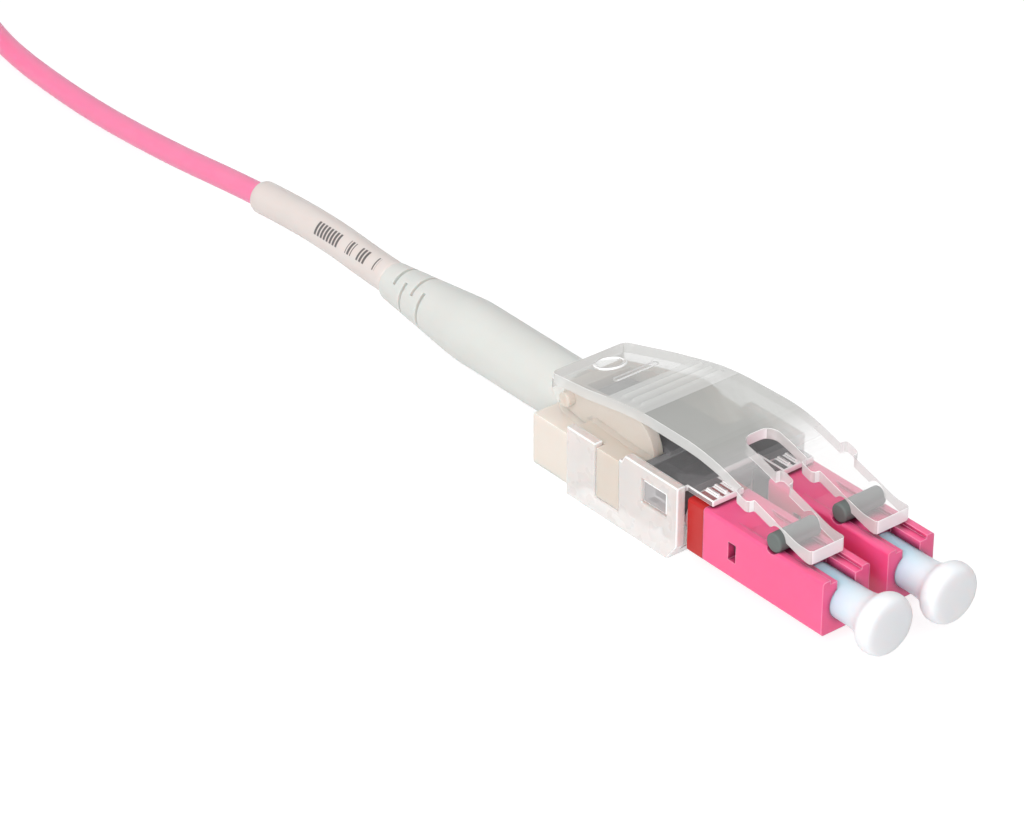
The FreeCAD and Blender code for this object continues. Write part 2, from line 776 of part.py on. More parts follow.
def make_cover_plate(name):
    """The bent plate of the cover, cut to its plan with two arms and four ears."""
    body = new_body(name + "_plate")
    outline = [
        ("-cover_back", COVER_BACK),
        ("-cover_back", COVER_BACK + " - cover_thickness"),
        ("-cover_bend_back", BEND_BACK + " - cover_thickness"),
        ("cover_bend_front", BEND_FRONT + " - arm_thickness"),
        (behind("tip_back - tip_taper"), TIP_FLOOR),
        (behind("tip_front"), TIP_FLOOR),
        (behind("tip_front"), TIP_FLOOR + " + tip_thickness"),
        (behind("tip_back"), TIP_FLOOR + " + tip_thickness"),
        ("cover_bend_front", BEND_FRONT),
        ("-cover_bend_back", BEND_BACK),
    ]
    side_pad(body, outline, "housing_width")
    bends = (-size("cover_bend_back"), size("cover_bend_front"))
    top = value(BEND_BACK) - size("cover_thickness") / 2
    at_bend = lambda spot: any(near(spot.x, x) for x in bends)
    soften(body, "cover_bend_radius", lambda spot: at_bend(spot) and spot.z > top)
    soften(body, "cover_bend_radius - cover_thickness", lambda spot: at_bend(spot) and spot.z < top)
    outer, inner = "pitch / 2 + arm_half_width", "pitch / 2 - arm_half_width"
    ear_outer, ear_inner = "pitch / 2 + ear_reach", "pitch / 2 - ear_reach"
    ear_back, shoulder, ear_front = behind("ear_back"), behind("ear_shoulder"), behind("ear_front")
    left = [
        ("-cover_back", "cover_half_back"),
        ("-cover_middle", "cover_half_middle"),
        ("-cover_full", "cover_half_front"),
        ("cover_bend_front", outer),
        (ear_back, outer),
        (ear_back, ear_outer),
        (shoulder, ear_outer),
        (ear_front, outer),
        (behind("tip_front"), outer),
        (behind("tip_front"), inner),
        (ear_front, inner),
        (shoulder, ear_inner),
        (ear_back, ear_inner),
        (ear_back, inner),
        (behind("window_start"), inner),
    ]
    trim_plan(body, left)
    start, half = value(behind("window_start")), value(inner)
    corner = lambda spot: near(spot.x, start) and near(abs(spot.y), half)
    soften(body, "window_corner", corner)
    room = (behind("bar_back"), BAR_HEIGHT + " + bar_travel")
    room = circle_on(body, "XZ_Plane", room, "bar_radius + bar_room_gap")
    extrude(body, "Pocket", room, "2 * housing_width")
    for count in range(3):
        middle = f"(-grip_back + {count} * grip_pitch)"
        top = underside(middle) + " + cover_thickness"
        sides = (middle + " - grip_width / 2", middle + " + grip_width / 2")
        side_pad(body, box_of(*sides, top + " - grip_height", top + " + grip_height"), "2 * grip_half_length")
    return body


def make_cover_skirts(name):
    """Two side walls below the rear of the plate, with holes for the pivots."""
    body = new_body(name + "_skirts")
    front = "-skirt_front"
    top = underside("(-cover_full)") + " + cover_thickness / 2"
    outline = [
        ("-cover_back", COVER_BACK + " - cover_thickness / 2"),
        ("-cover_back", YOKE_TOP + " + heel_rise"),
        ("-pivot_back", BLOCK_TOP + " + skirt_gap"),
        ("-housing_back - skirt_gap", BLOCK_TOP + " + skirt_gap"),
        ("-housing_back - skirt_gap", YOKE_TOP + " + skirt_gap"),
        (front, YOKE_TOP + " + skirt_gap"),
        (front, top),
        ("-cover_full", top),
    ]
    side_pad(body, outline, "housing_width")
    round_nose(body, front, "skirt_nose_radius")
    trim_plan(body, cover_plan("0"))
    hollow_plan(body, cover_plan("skirt_thickness"))
    hole = circle_on(body, "XZ_Plane", ("-pivot_back", YOKE_TOP), "pivot_radius + inner_gap")
    extrude(body, "Pocket", hole, "2 * housing_width")
    return body


def make_latch_cover(name):
    """One clear moulding: plate, arms, ears, grip ribs and skirts."""
    cover = doc.addObject("Part::MultiFuse", name + "_shape")
    cover.Shapes = [make_cover_plate(name), make_cover_skirts(name)]
    return cover


# ------------------------------------------------------- boot and crimp


def make_boot(name):
    """Tapered bend relief with a spigot in front and four staggered rings of slots."""
    body = new_body(name)
    bore, stem = "cord_radius + boot_bore_gap", "crimp_radius + fit_gap"
    front = "-block_back + spigot_length"
    outline = [
        ("-boot_end", bore),
        ("-boot_room_end", bore),
        ("-boot_room_end", RING_RADIUS + " + boot_bore_gap"),
        ("-block_back", RING_RADIUS + " + boot_bore_gap"),
        ("-block_back", stem),
        (front, stem),
        (front, "spigot_radius"),
        ("-block_back", "spigot_radius"),
        ("-block_back", "boot_front_radius"),
        ("-boot_taper", "boot_radius"),
        ("-boot_end", "boot_end_radius"),
    ]
    turn(body, "Revolution", outline)
    end, rim = -size("boot_end"), size("boot_end_radius")
    soften(body, "boot_edge", lambda spot: near(spot.x, end) and near(off_axis(spot), rim))
    bend, belly = -size("boot_taper"), size("boot_radius")
    at_belly = lambda spot: near(spot.x, bend) and near(off_axis(spot), belly)
    soften(body, "boot_taper / 2", at_belly)
    taper = "(boot_radius - boot_end_radius) / (boot_end - boot_taper)"
    for ring in range(4):
        back = f"(-boot_end + slot_from_end + {ring} * slot_pitch)"
        bottom = f"(boot_end_radius + ({back} + boot_end) * {taper} - slot_depth)"
        for sign in ("", "-"):
            slot = box_of(back, back + " + slot_width", sign + bottom, sign + "2 * boot_radius")
            turn(body, "Groove", slot, "slot_angle", ("XZ_Plane", "XY_Plane")[ring % 2])
    return body


def make_crimp_body(name):
    """Metal stem that the two fibres pass through."""
    body = new_body(name)
    wall = box_of("-crimp_end", "-crimp_front", "crimp_bore_radius", "crimp_radius")
    turn(body, "Revolution", wall)
    return body


def make_crimp_ring(name):
    """Metal ring crimped over the stem and the end of the cord's jacket."""
    body = new_body(name)
    outline = [
        ("-ring_end", "cord_radius"),
        ("-crimp_end", "cord_radius"),
        ("-crimp_end", "crimp_radius"),
        ("-ring_front", "crimp_radius"),
        ("-ring_front", RING_RADIUS),
        ("-ring_end", RING_RADIUS),
    ]
    turn(body, "Revolution", outline)
    return body


# ------------------------------------------------------ fibres and cord


def shape_object(name, shape):
    """An object whose shape is made directly."""
    item = doc.addObject("Part::Feature", name + "_shape")
    item.Shape = shape
    return item


def route_wire(name, points):
    """Straight runs joined by tangent arcs, each as large as its two runs allow."""
    spots = [Vector(*point) for point in points]
    edges, radii, start = [], [], spots[0]
    for before, corner, after in zip(spots, spots[1:], spots[2:]):
        back, ahead = corner - before, after - corner
        half_turn = back.getAngle(ahead) / 2
        reach = 0.45 * min(back.Length, ahead.Length)
        radii.append(reach / math.tan(half_turn))
        into = corner - back.normalize() * reach
        out = corner + ahead.normalize() * reach
        chord = (into + out) * 0.5 - corner
        depth = radii[-1] * (1 / math.cos(half_turn) - 1)
        edges.append(Part.makeLine(start, into))
        edges.append(Part.Arc(into, corner + chord.normalize() * depth, out).toShape())
        start = out
    edges.append(Part.makeLine(start, spots[-1]))
    print(name, "radii", [round(radius, 1) for radius in radii])
    return Part.Wire(edges)


def tube_along(name, points, radius):
    """A round tube along a route, with its volume set against section times length."""
    path = route_wire(name, points)
    start = path.Edges[0]
    section = Part.makeCircle(radius, start.valueAt(start.FirstParameter), start.tangentAt(0))
    tube = path.makePipeShell([Part.Wire([section])], True, False)
    share = tube.Volume / (math.pi * radius**2 * path.Length)
    print(name, "length", round(path.Length, 2), "volume share", round(share, 4))
    return tube


def make_fibres():
    """Buffered fibres from the ferrules' holders back to the crimp body."""
    end = -value(COLLAR_BACK + " + crimp_end - crimp_front")
    for word, side in (("right", -1), ("left", 1)):
        axis = side * size("pitch") / 2
        middle = side * size("fibre_spread")
        route = [
            (-size("fibre_front"), axis, 0),
            (-size("fibre_straight"), axis, 0),
            (-value(COLLAR_BACK + " + housing_back"), middle, 0),
            (-value(COLLAR_BACK + " + cover_back"), middle, 0),
        ]
        name = "fibre_" + word
        keep(shape_object(name, tube_along(name, route, size("fibre_radius"))), name)


def racetrack(radius, low, height):
    """A block with two round ends about the hank's middle."""
    run, x, y = size("hank_run"), size("hank_x"), size("hank_y")
    block = Part.makeBox(run, 2 * radius, height, Vector(x - run / 2, y - radius, low))
    ends = [Part.makeCylinder(radius, height, Vector(x + s * run / 2, y, low)) for s in (-1, 1)]
    return block.multiFuse(ends).removeSplitter()


def make_hank(low):
    """The put-away turns of the cord, as one flat-sided ring."""
    outer = racetrack(size("hank_outer"), low, size("hank_height"))
    return outer.cut(racetrack(size("hank_inner"), low - 1, size("hank_height") + 2))


def make_tie(low):
    """The band round both sides of the hank."""
    thick, width = size("tie_thickness"), size("tie_width")
    half, tall = size("hank_outer"), size("hank_height")
    corner = Vector(size("hank_x") - width / 2, size("hank_y") - half - thick, low - thick)
    band = Part.makeBox(width, 2 * (half + thick), tall + 2 * thick, corner)
    return band.cut(Part.makeBox(width, 2 * half, tall, corner + Vector(0, thick, thick)))


def make_sleeve():
    """The printed sleeve that is slipped over the cord behind the boot."""
    tube = tube_along("label_sleeve", CORD_ROUTE, value("cord_radius + sleeve_wall"))
    tube = tube.cut(tube_along("sleeve_bore", CORD_ROUTE, size("cord_radius")))
    back, front = size("sleeve_back"), size("sleeve_front")
    side = size("housing_width")
    return tube.common(Part.makeBox(back - front, side, side, Vector(-back, -side / 2, -side / 2)))


def make_cord_parts():
    """The cord's two free stretches, its hank, the tie and the sleeve."""
    low = size("tie_thickness") - size("rest_height")
    hank = make_hank(low)
    shapes = {
        "cord": tube_along("cord", CORD_ROUTE, size("cord_radius")).cut(hank),
        "cord_hank": hank,
        "cord_tail": tube_along("cord_tail", TAIL_ROUTE, size("cord_radius")).cut(hank),
        "hank_tie": make_tie(low),
        "label_sleeve": make_sleeve(),
    }
    for name, shape in shapes.items():
        keep(shape_object(name, shape), name)


# ------------------------------------------------------------- assembly


def make_front(end):
    """The pieces that both ends of the cord share."""
    keep_behind(make_housing, "housing", end)
    keep_behind(make_deck, "deck_plate", end)
    keep_behind(make_carrier, "carrier", end)
    keep_behind(make_yoke, "yoke", end)
    keep_behind(make_rear_block, "rear_block", end)
    keep_behind(make_latch_cover, "latch_cover", end)
    keep_behind(make_boot, "boot", end)
    keep_pair(make_plug, "plug", end)
    keep_pair(make_collar, "collar", end)
    keep_pair(make_barrel, "barrel", end)
    keep_pair(make_latch_bar, "latch_bar", end)
    keep_pair(make_dust_cap, "dust_cap", end)


def make_inside():
    """Ferrules, springs, fibres and crimp of the near connector."""
    keep_pair(make_ferrule, "ferrule")
    keep_pair(make_holder, "ferrule_holder")
    keep_pair(make_spring, "spring")
    keep_behind(make_crimp_body, "crimp_body")
    keep_behind(make_crimp_ring, "crimp_ring")
    make_fibres()


def write_parts():
    """Checks every object and writes one file per node."""
    doc.recompute()
    for item in doc.Objects:
        if "Invalid" in item.State or "Error" in item.State:
            raise RuntimeError(f"{item.Label} failed: {item.State}")
    os.makedirs("parts", exist_ok=True)
    for item in nodes:
        if item.Shape.isNull() or not item.Shape.isValid():
            raise RuntimeError(f"{item.Label} has no valid shape")
        item.Shape.exportStep(os.path.join("parts", item.Label + ".step"))
        print(item.Label, "solids", len(item.Shape.Solids), "volume", round(item.Shape.Volume, 3))


make_front(NEAR)
make_inside()
make_cord_parts()
make_front(FAR)
write_parts()
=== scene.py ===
"""Looks of the duplex LC fibre connector: finishes, fine mouldings, cord, studio and camera.

Everything is in metres in the CAD's frame: X forward out of the plug noses, Y to the
connector's left, Z up, with Z = 0 at the height of the two plug axes. Sizes whose name or
class says so are millimetres.
"""

import json
import logging
import math
from dataclasses import dataclass, field
from enum import Enum
from functools import reduce
from typing import Callable, Iterable, Sequence

import bmesh
import bpy
from mathutils import Matrix, Vector


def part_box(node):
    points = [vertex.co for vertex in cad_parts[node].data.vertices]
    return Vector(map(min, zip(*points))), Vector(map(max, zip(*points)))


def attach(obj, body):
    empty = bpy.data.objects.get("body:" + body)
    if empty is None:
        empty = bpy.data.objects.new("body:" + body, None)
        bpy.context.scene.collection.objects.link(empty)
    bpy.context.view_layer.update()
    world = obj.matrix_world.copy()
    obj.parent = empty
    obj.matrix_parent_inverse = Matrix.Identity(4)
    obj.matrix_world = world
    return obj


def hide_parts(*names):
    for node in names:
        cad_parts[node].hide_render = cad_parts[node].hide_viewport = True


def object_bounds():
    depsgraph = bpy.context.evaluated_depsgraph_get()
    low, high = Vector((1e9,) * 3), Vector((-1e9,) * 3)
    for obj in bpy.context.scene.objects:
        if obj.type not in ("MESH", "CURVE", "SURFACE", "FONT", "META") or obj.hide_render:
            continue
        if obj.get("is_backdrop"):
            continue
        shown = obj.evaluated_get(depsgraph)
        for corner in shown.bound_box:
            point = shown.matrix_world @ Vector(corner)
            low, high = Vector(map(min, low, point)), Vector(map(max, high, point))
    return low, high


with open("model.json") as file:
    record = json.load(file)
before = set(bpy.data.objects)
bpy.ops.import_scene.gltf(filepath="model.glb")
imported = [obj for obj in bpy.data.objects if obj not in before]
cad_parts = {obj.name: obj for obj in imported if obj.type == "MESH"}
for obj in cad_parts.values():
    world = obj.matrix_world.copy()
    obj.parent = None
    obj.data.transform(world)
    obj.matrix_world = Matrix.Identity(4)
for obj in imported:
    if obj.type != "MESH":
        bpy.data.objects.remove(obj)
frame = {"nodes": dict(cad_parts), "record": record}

LOG = logging.getLogger("lc_connector")
MM = 0.001
ROOT = "connector"
# Name of the face attribute with the strength of a clear piece's white veil.
VEIL = "veil"
# Share of a plastic's glow over which red, green and blue light spread; red goes furthest.
GLOW_BY_COLOUR = (1.0, 0.75, 0.7)

Socket = bpy.types.NodeSocket
Mesh = bmesh.types.BMesh
Face = bmesh.types.BMFace
Edge = bmesh.types.BMEdge
Pair = tuple[float, float]
Triple = tuple[float, float, float]


class Side(Enum):
    """Which of the two plugs a piece belongs to; the value is the sign of its Y."""

    RIGHT = -1
    LEFT = 1

    @property
    def word(self) -> str:
        """The side as it stands in the nodes' names."""
        return self.name.lower()


class Join(Enum):
    """What is done with a second closed mesh; the value is the modifier's word for it."""

    ADD = "UNION"
    TAKE_AWAY = "DIFFERENCE"


def share_between(value: float, start: float, end: float) -> float:
    """How far a value has come from a start to an end, kept from 0 to 1.

    Args:
        value: the value.
        start: where the share is 0.
        end: where the share is 1.

    Returns:
        The share.
    """
    return min(max((value - start) / (end - start), 0.0), 1.0)


# ------------------------------------------------------------------ finishes


def srgb(code: str) -> tuple[float, float, float, float]:
    """Turns a six-digit sRGB hex code into linear colour.

    Args:
        code: the colour, such as "#FF4D8C".

    Returns:
        Linear red, green, blue and an alpha of 1.
    """
    parts = [int(code[i : i + 2], 16) / 255 for i in (1, 3, 5)]
    linear = [p / 12.92 if p <= 0.04045 else ((p + 0.055) / 1.055) ** 2.4 for p in parts]
    return (*linear, 1.0)


class Tree:
    """A node tree that is built with one short call for each node."""

    def __init__(self, node_tree: bpy.types.NodeTree) -> None:
        """Takes the tree to build in.

        Args:
            node_tree: a material's or the world's node tree.
        """
        self.nodes = node_tree.nodes
        self.links = node_tree.links

    def give(self, socket: Socket, value: object) -> None:
        """Sets an input, or links it when it is given a socket.

        Args:
            socket: the input.
            value: a socket, a number, a vector or a colour's hex code.
        """
        if isinstance(value, bpy.types.NodeSocket):
            self.links.new(value, socket)
        else:
            socket.default_value = srgb(value) if isinstance(value, str) else value

    def add(
        self,
        kind: str,
        inputs: dict[str | int, object] | None = None,
        out: str | int = 0,
        **settings: object,
    ) -> Socket:
        """Adds a node with its settings and links.

        Args:
            kind: the node's type.
            inputs: what each input is given, by the input's name or number.
            out: name or number of the output to return.
            settings: the node's own properties.

        Returns:
            The output.
        """
        node = self.nodes.new(kind)
        for key, value in settings.items():
            setattr(node, key, value)
        for key, value in (inputs or {}).items():
            self.give(node.inputs[key], value)
        return node.outputs[out]

    def fold(self, operation: str, values: Iterable[Socket | float]) -> Socket:
        """Works out one value from many, two at a time.

        Args:
            operation: what is done with each two, such as "MAXIMUM".
            values: the sockets and numbers, of which the first is a socket.

        Returns:
            The result.
        """
        return reduce(
            lambda first, second: self.add(
                "ShaderNodeMath", {0: first, 1: second}, operation=operation
            ),
            values,
        )

    def seen(self) -> Socket:
        """Tells the rays that make the picture from those that only light the object.

        Returns:
            1 for rays from the eye and off or through what it sees, and 0 for the others.
        """
        rays = self.add("ShaderNodeLightPath").node.outputs
        kinds = ("Is Camera Ray", "Is Glossy Ray", "Is Transmission Ray")
        return self.fold("MAXIMUM", [rays[kind] for kind in kinds])


class Surface(Tree):
    """A material's tree: its surface shader, and the place on the piece in millimetres."""

    def __init__(self, name: str) -> None:
        """Starts the material.

        Args:
            name: the material's name.
        """
        self.material = bpy.data.materials.new(name)
        self.material.use_nodes = True
        super().__init__(self.material.node_tree)
        self.nodes.clear()
        shader = self.add("ShaderNodeBsdfPrincipled")
        self.inputs = shader.node.inputs
        self.add_output(shader)
        place = self.add("ShaderNodeTexCoord", out="Object")
        self.mm = self.add("ShaderNodeVectorMath", {0: place, "Scale": 1 / MM}, operation="SCALE")

    def add_output(self, shader: Socket) -> None:
        """Ends the tree in the shader."""
        output = self.nodes.new("ShaderNodeOutputMaterial")
        self.links.new(shader, output.inputs["Surface"])

    def set(self, **inputs: object) -> None:
        """Gives inputs to the surface shader.

        Args:
            inputs: what each input is given; a name's underscores are spaces.
        """
        for key, value in inputs.items():
            self.give(self.inputs[key.replace("_", " ")], value)

    def tint(self, share: Socket, colour: str) -> None:
        """Turns the body's colour towards another.

        Args:
            share: how far, from 0 to 1.
            colour: the other colour's hex code.
        """
        body = self.inputs["Base Color"]
        before = body.links[0].from_socket if body.is_linked else tuple(body.default_value)
        # A colour mix takes its share at input 0 and its colours at 6 and 7, and gives output 2.
        colours = {0: share, 6: before, 7: colour}
        self.set(Base_Color=self.add("ShaderNodeMix", colours, out=2, data_type="RGBA"))

    def emboss(self, height: Socket, depth_mm: float) -> None:
        """Lays a fine relief on the one that the surface already has.

        Args:
            height: the pattern, from 0 to 1.
            depth_mm: how deep it is.
        """
        values = {"Height": height, "Distance": depth_mm * MM, "Strength": 1.0}
        if self.inputs["Normal"].is_linked:
            values["Normal"] = self.inputs["Normal"].links[0].from_socket
        self.set(Normal=self.add("ShaderNodeBump", values))


@dataclass(frozen=True)
class Finish:
    """One moulded, drawn or machined surface: soft patches, uneven gloss and a fine grain.

    Attributes:
        name: what the real material is and how it was made.
        light: colour of the body, as a hex code.
        deep: the colour that it drifts to in soft patches.
        roughness: middle of the roughness.
        uneven: share by which the roughness varies to either side.
        patch_mm: size of the soft patches; the gloss varies over a third of it.
        grain_mm: size of the fine texture. A mould's real grain is finer; it is drawn as
            coarse as it needs to show.
        relief_mm: height of the fine texture.
        glow_mm: how far light spreads under the surface.
        coat: strength of a thin glossy skin.
        coat_roughness: roughness of that skin.
        metallic: 1 for metal.
        ior: index of refraction.
    """

    name: str
    light: str
    deep: str
    roughness: float
    uneven: float = 0.2
    patch_mm: float = 4.0
    grain_mm: float = 0.12
    relief_mm: float = 0.001
    glow_mm: float = 0.0
    coat: float = 0.0
    coat_roughness: float = 0.04
    metallic: float = 0.0
    ior: float = 1.5

    def build(self) -> bpy.types.Material:
        """Makes the material.

        Returns:
            The material.
        """
        tree = Surface(self.name)
        patches = {"Vector": tree.mm, "Scale": 1 / self.patch_mm}
        gloss = {
            "Value": tree.add("ShaderNodeTexNoise", {**patches, "Scale": 3 / self.patch_mm}),
            "To Min": self.roughness * (1 - self.uneven),
            "To Max": self.roughness * (1 + self.uneven),
        }
        tree.set(
            Base_Color=self.light,
            Roughness=tree.add("ShaderNodeMapRange", gloss),
            Metallic=self.metallic,
            IOR=self.ior,
            Coat_Weight=self.coat,
            Coat_Roughness=self.coat_roughness,
        )
        tree.tint(tree.add("ShaderNodeTexNoise", patches), self.deep)
        if self.glow_mm:
            tree.set(Subsurface_Weight=1.0, Subsurface_Scale=self.glow_mm * MM)
            tree.set(Subsurface_Radius=GLOW_BY_COLOUR)
        grain = {"Vector": tree.mm, "Scale": 1 / self.grain_mm}
        tree.emboss(tree.add("ShaderNodeTexNoise", grain), self.relief_mm)
        self.detail(tree)
        return tree.material

    def detail(self, tree: Surface) -> None:
        """Adds what only this finish has; a plain moulding has nothing more."""


@dataclass(frozen=True)
class Clear(Finish):
    """Clear plastic with a white veil, whose strength its piece gives by face; where the veil is
    strongest it turns white, a painted highlight.

    Attributes:
        mist: colour of the veil where it is dense, if that is another.
        dense: strengths of the veil between which it takes on that colour.
        rim: strengths of the veil between which it turns white, a painted highlight.
    """

    mist: str = ""
    dense: Pair = (0.25, 0.48)
    rim: Pair = (0.6, 0.9)

    def detail(self, tree: Surface) -> None:
        """Lays the veil over the clear body, white where it is strongest: a painted highlight.

        Args:
            tree: the material's tree.
        """
        strength = tree.add("ShaderNodeAttribute", attribute_name=VEIL, out="Fac")
        for colour, (start, full) in ((self.mist, self.dense), ("#FFFFFF", self.rim)):
            if colour:
                limits = {"Value": strength, "From Min": start, "From Max": full}
                tree.tint(tree.add("ShaderNodeMapRange", limits), colour)
        tree.set(Alpha=strength)


@dataclass(frozen=True)
class BrightEdged(Finish):
    """Dense plastic with a painted highlight along its corners and painted shade in its slots and
    inner corners.

    Attributes:
        edge_mm: width of the rounding that the light shows along edges.
        edge_light: colour of the painted highlight on that rounding.
        edge_share: how far the body turns to that colour.
        turned: cosines of the edge's turn between which it does so.
        cavity_mm: reach over which slots and inner corners get painted shade.
        cavity: colour of that painted shade.
        shut: shares of open sky between which they do so.
    """

    edge_mm: float = 0.15
    edge_light: str = "#FFFFFF"
    edge_share: float = 0.7
    turned: Pair = (0.99, 0.82)
    cavity_mm: float = 0.9
    cavity: str = "#000000"
    shut: Pair = (0.8, 0.42)

    def detail(self, tree: Surface) -> None:
        """Paints shade into the slots, then rounds the edges and paints a highlight on them.

        Args:
            tree: the material's tree.
        """
        # Painted shade: slots and inner corners darken towards the shade colour where ambient
        # occlusion finds little open sky.
        reach = {"Distance": self.cavity_mm * MM}
        open_sky = tree.add("ShaderNodeAmbientOcclusion", reach, out="AO", samples=8)
        start, full = self.shut
        limits = {"Value": open_sky, "From Min": start, "From Max": full}
        tree.tint(tree.add("ShaderNodeMapRange", limits), self.cavity)
        # Painted highlight: the body turns paler along the edges, where the rounded normal leans
        # away from the true one.
        grain = tree.inputs["Normal"].links[0].from_socket
        rounding = {"Radius": self.edge_mm * MM, "Normal": grain}
        soft = tree.add("ShaderNodeBevel", rounding, samples=6)
        pair = {0: soft, 1: tree.add("ShaderNodeNewGeometry", out="Normal")}
        along = tree.add("ShaderNodeVectorMath", pair, out="Value", operation="DOT_PRODUCT")
        start, full = self.turned
        limits = {"Value": along, "From Min": start, "From Max": full, "To Max": self.edge_share}
        tree.tint(tree.add("ShaderNodeMapRange", limits), self.edge_light)
        tree.set(Normal=soft)


@dataclass(frozen=True)
class SoftCap(Finish):
    """Soft translucent plastic, white, and blue where the thin tube enters the plug.

    Attributes:
        tube: colour of the tube in the plug.
        fade_mm: how far ahead of the nose the blue starts to fade, and has faded.
    """

    tube: str = "#B5D7E5"
    fade_mm: Pair = (-0.8, 3.0)

    def detail(self, tree: Surface) -> None:
        """Tints the tube at both ends of the cord, by the distance from midway.

        Args:
            tree: the material's tree.
        """
        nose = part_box("plug_right")[1].x / MM
        far_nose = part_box("far_plug_right")[0].x / MM
        reach = (nose - far_nose) / 2
        x = tree.add("ShaderNodeSeparateXYZ", {0: tree.mm}, out="X")
        from_middle = tree.fold("SUBTRACT", [x, (nose + far_nose) / 2])
        ahead = tree.add("ShaderNodeMath", {0: from_middle}, operation="ABSOLUTE")
        start, end = self.fade_mm
        limits = {"Value": ahead, "From Min": reach + end, "From Max": reach + start}
        tree.tint(tree.add("ShaderNodeMapRange", limits), self.tube)


@dataclass(frozen=True)
class CordJacket(Finish):
    """Extruded jacket: a satin skin with faint long ripples.

    Attributes:
        ripple_mm: length of a ripple.
        ripple_depth_mm: its depth.
    """

    ripple_mm: float = 2.5
    ripple_depth_mm: float = 0.03

    def detail(self, tree: Surface) -> None:
        """Adds the ripples and a soft sheen.

        Args:
            tree: the material's tree.
        """
        ripples = {"Vector": tree.mm, "Scale": 1 / self.ripple_mm}
        tree.emboss(tree.add("ShaderNodeTexNoise", ripples), self.ripple_depth_mm)
        tree.set(Sheen_Weight=0.15, Sheen_Roughness=0.4)


@dataclass(frozen=True)
class PrintedSleeve(Finish):
    """Heat-shrunk sleeve with soft creases and a plain row of dark strokes.

    Attributes:
        ink: colour of the strokes.
        cover: how well the ink covers.
        middle_mm: y and z of the sleeve's middle where it is printed.
        turn: how far the print is turned round the sleeve, in degrees.
        groups_mm: distance behind the noses and half the length of each group of strokes.
        pitch_mm: from one stroke to the next.
        stroke_mm: half the width of a stroke.
        height_mm: half the height of a stroke.
        facing_mm: height over the middle, across the print, between which it starts.
        blur_mm: width of the ink's soft edge.
        crease_mm: size of the creases.
        crease_depth_mm: their depth.
    """

    ink: str = "#2E2A2C"
    cover: float = 0.85
    middle_mm: Pair = (0.45, 0.05)
    turn: float = 45.0
    groups_mm: tuple[Pair, ...] = ((64.3, 1.6), (61.1, 0.35), (59.4, 0.5), (57.6, 0.12))
    pitch_mm: float = 0.42
    stroke_mm: float = 0.09
    height_mm: float = 0.55
    facing_mm: Pair = (0.113, 0.17)
    blur_mm: float = 0.08
    crease_mm: float = 1.6
    crease_depth_mm: float = 0.04

    def detail(self, tree: Surface) -> None:
        """Prints the strokes on the side that looks up and to the right, and adds the creases.

        Args:
            tree: the material's tree.
        """
        turned = {
            "Vector": tree.mm,
            "Location": (0.0, *self.middle_mm),
            "Rotation": (math.radians(self.turn), 0.0, 0.0),
        }
        placed = tree.add("ShaderNodeMapping", turned, vector_type="TEXTURE")
        x, across, over = tree.add("ShaderNodeSeparateXYZ", {0: placed}).node.outputs
        folded = tree.fold("PINGPONG", [x, self.pitch_mm])
        from_stroke = tree.fold("SUBTRACT", [folded, self.pitch_mm / 2])
        start, full = self.facing_mm
        facing = {"Value": over, "From Min": start, "From Max": full}
        groups = [
            self.near(tree, tree.fold("ADD", [x, behind]), half) for behind, half in self.groups_mm
        ]
        masks = [
            self.near(tree, from_stroke, self.stroke_mm),
            self.near(tree, across, self.height_mm),
            tree.add("ShaderNodeMapRange", facing),
            tree.fold("MAXIMUM", groups),
            self.cover,
        ]
        tree.tint(tree.fold("MULTIPLY", masks), self.ink)
        creases = {"Vector": tree.mm, "Scale": 1 / self.crease_mm}
        tree.emboss(tree.add("ShaderNodeTexNoise", creases), self.crease_depth_mm)

    def near(self, tree: Surface, value: Socket, half: float) -> Socket:
        """A mask of what lies near 0, with the ink's soft edge.

        Args:
            tree: the material's tree.
            value: the distance, in millimetres.
            half: how far the mask reaches to either side.

        Returns:
            1 inside and 0 outside.
        """
        gap = tree.add("ShaderNodeMath", {0: value}, operation="ABSOLUTE")
        limits = {"Value": gap, "From Min": half, "From Max": half + self.blur_mm}
        levels = {"To Min": 1.0, "To Max": 0.0}
        return tree.add(
            "ShaderNodeMapRange", {**limits, **levels}, interpolation_type="SMOOTHSTEP"
        )


def wave_scale(spacing_mm: float) -> float:
    """Scale of a wave texture with its bands that far apart; at 1 they are pi / 10 apart."""
    return math.pi / 10 / spacing_mm


@dataclass(frozen=True)
class WovenStrap(Finish):
    """Woven strap: crossed ribs and a fuzzy sheen.

    Attributes:
        rib_mm: from one rib to the next.
        rib_depth_mm: their depth.
    """

    rib_mm: float = 0.19635
    rib_depth_mm: float = 0.06

    def detail(self, tree: Surface) -> None:
        """Crosses two rows of ribs.

        Args:
            tree: the material's tree.
        """
        scale = wave_scale(self.rib_mm)
        waves = {"Vector": tree.mm, "Scale": scale, "Distortion": 0.6, "Detail": 1.0}
        rows = [
            tree.add("ShaderNodeTexWave", waves, out=1, bands_direction=axis) for axis in "XY"
        ]
        tree.emboss(tree.fold("MAXIMUM", rows), self.rib_depth_mm)
        tree.set(Sheen_Weight=0.6)


@dataclass(frozen=True)
class Turned(Finish):
    """Metal turned on a lathe or drawn: fine rings round X.

    Attributes:
        metallic: 1, as it is metal.
        ring_mm: from one ring to the next, a lathe's usual feed. It stays that fine, because
            these pieces are inside the connector and don't show.
        ring_depth_mm: their depth.
    """

    metallic: float = 1.0
    ring_mm: float = 0.05236
    ring_depth_mm: float = 0.003

    def detail(self, tree: Surface) -> None:
        """Adds the rings.

        Args:
            tree: the material's tree.
        """
        rings = {"Vector": tree.mm, "Scale": wave_scale(self.ring_mm), "Distortion": 0.3}
        wave = tree.add("ShaderNodeTexWave", rings, out=1, bands_direction="X")
        tree.emboss(wave, self.ring_depth_mm)


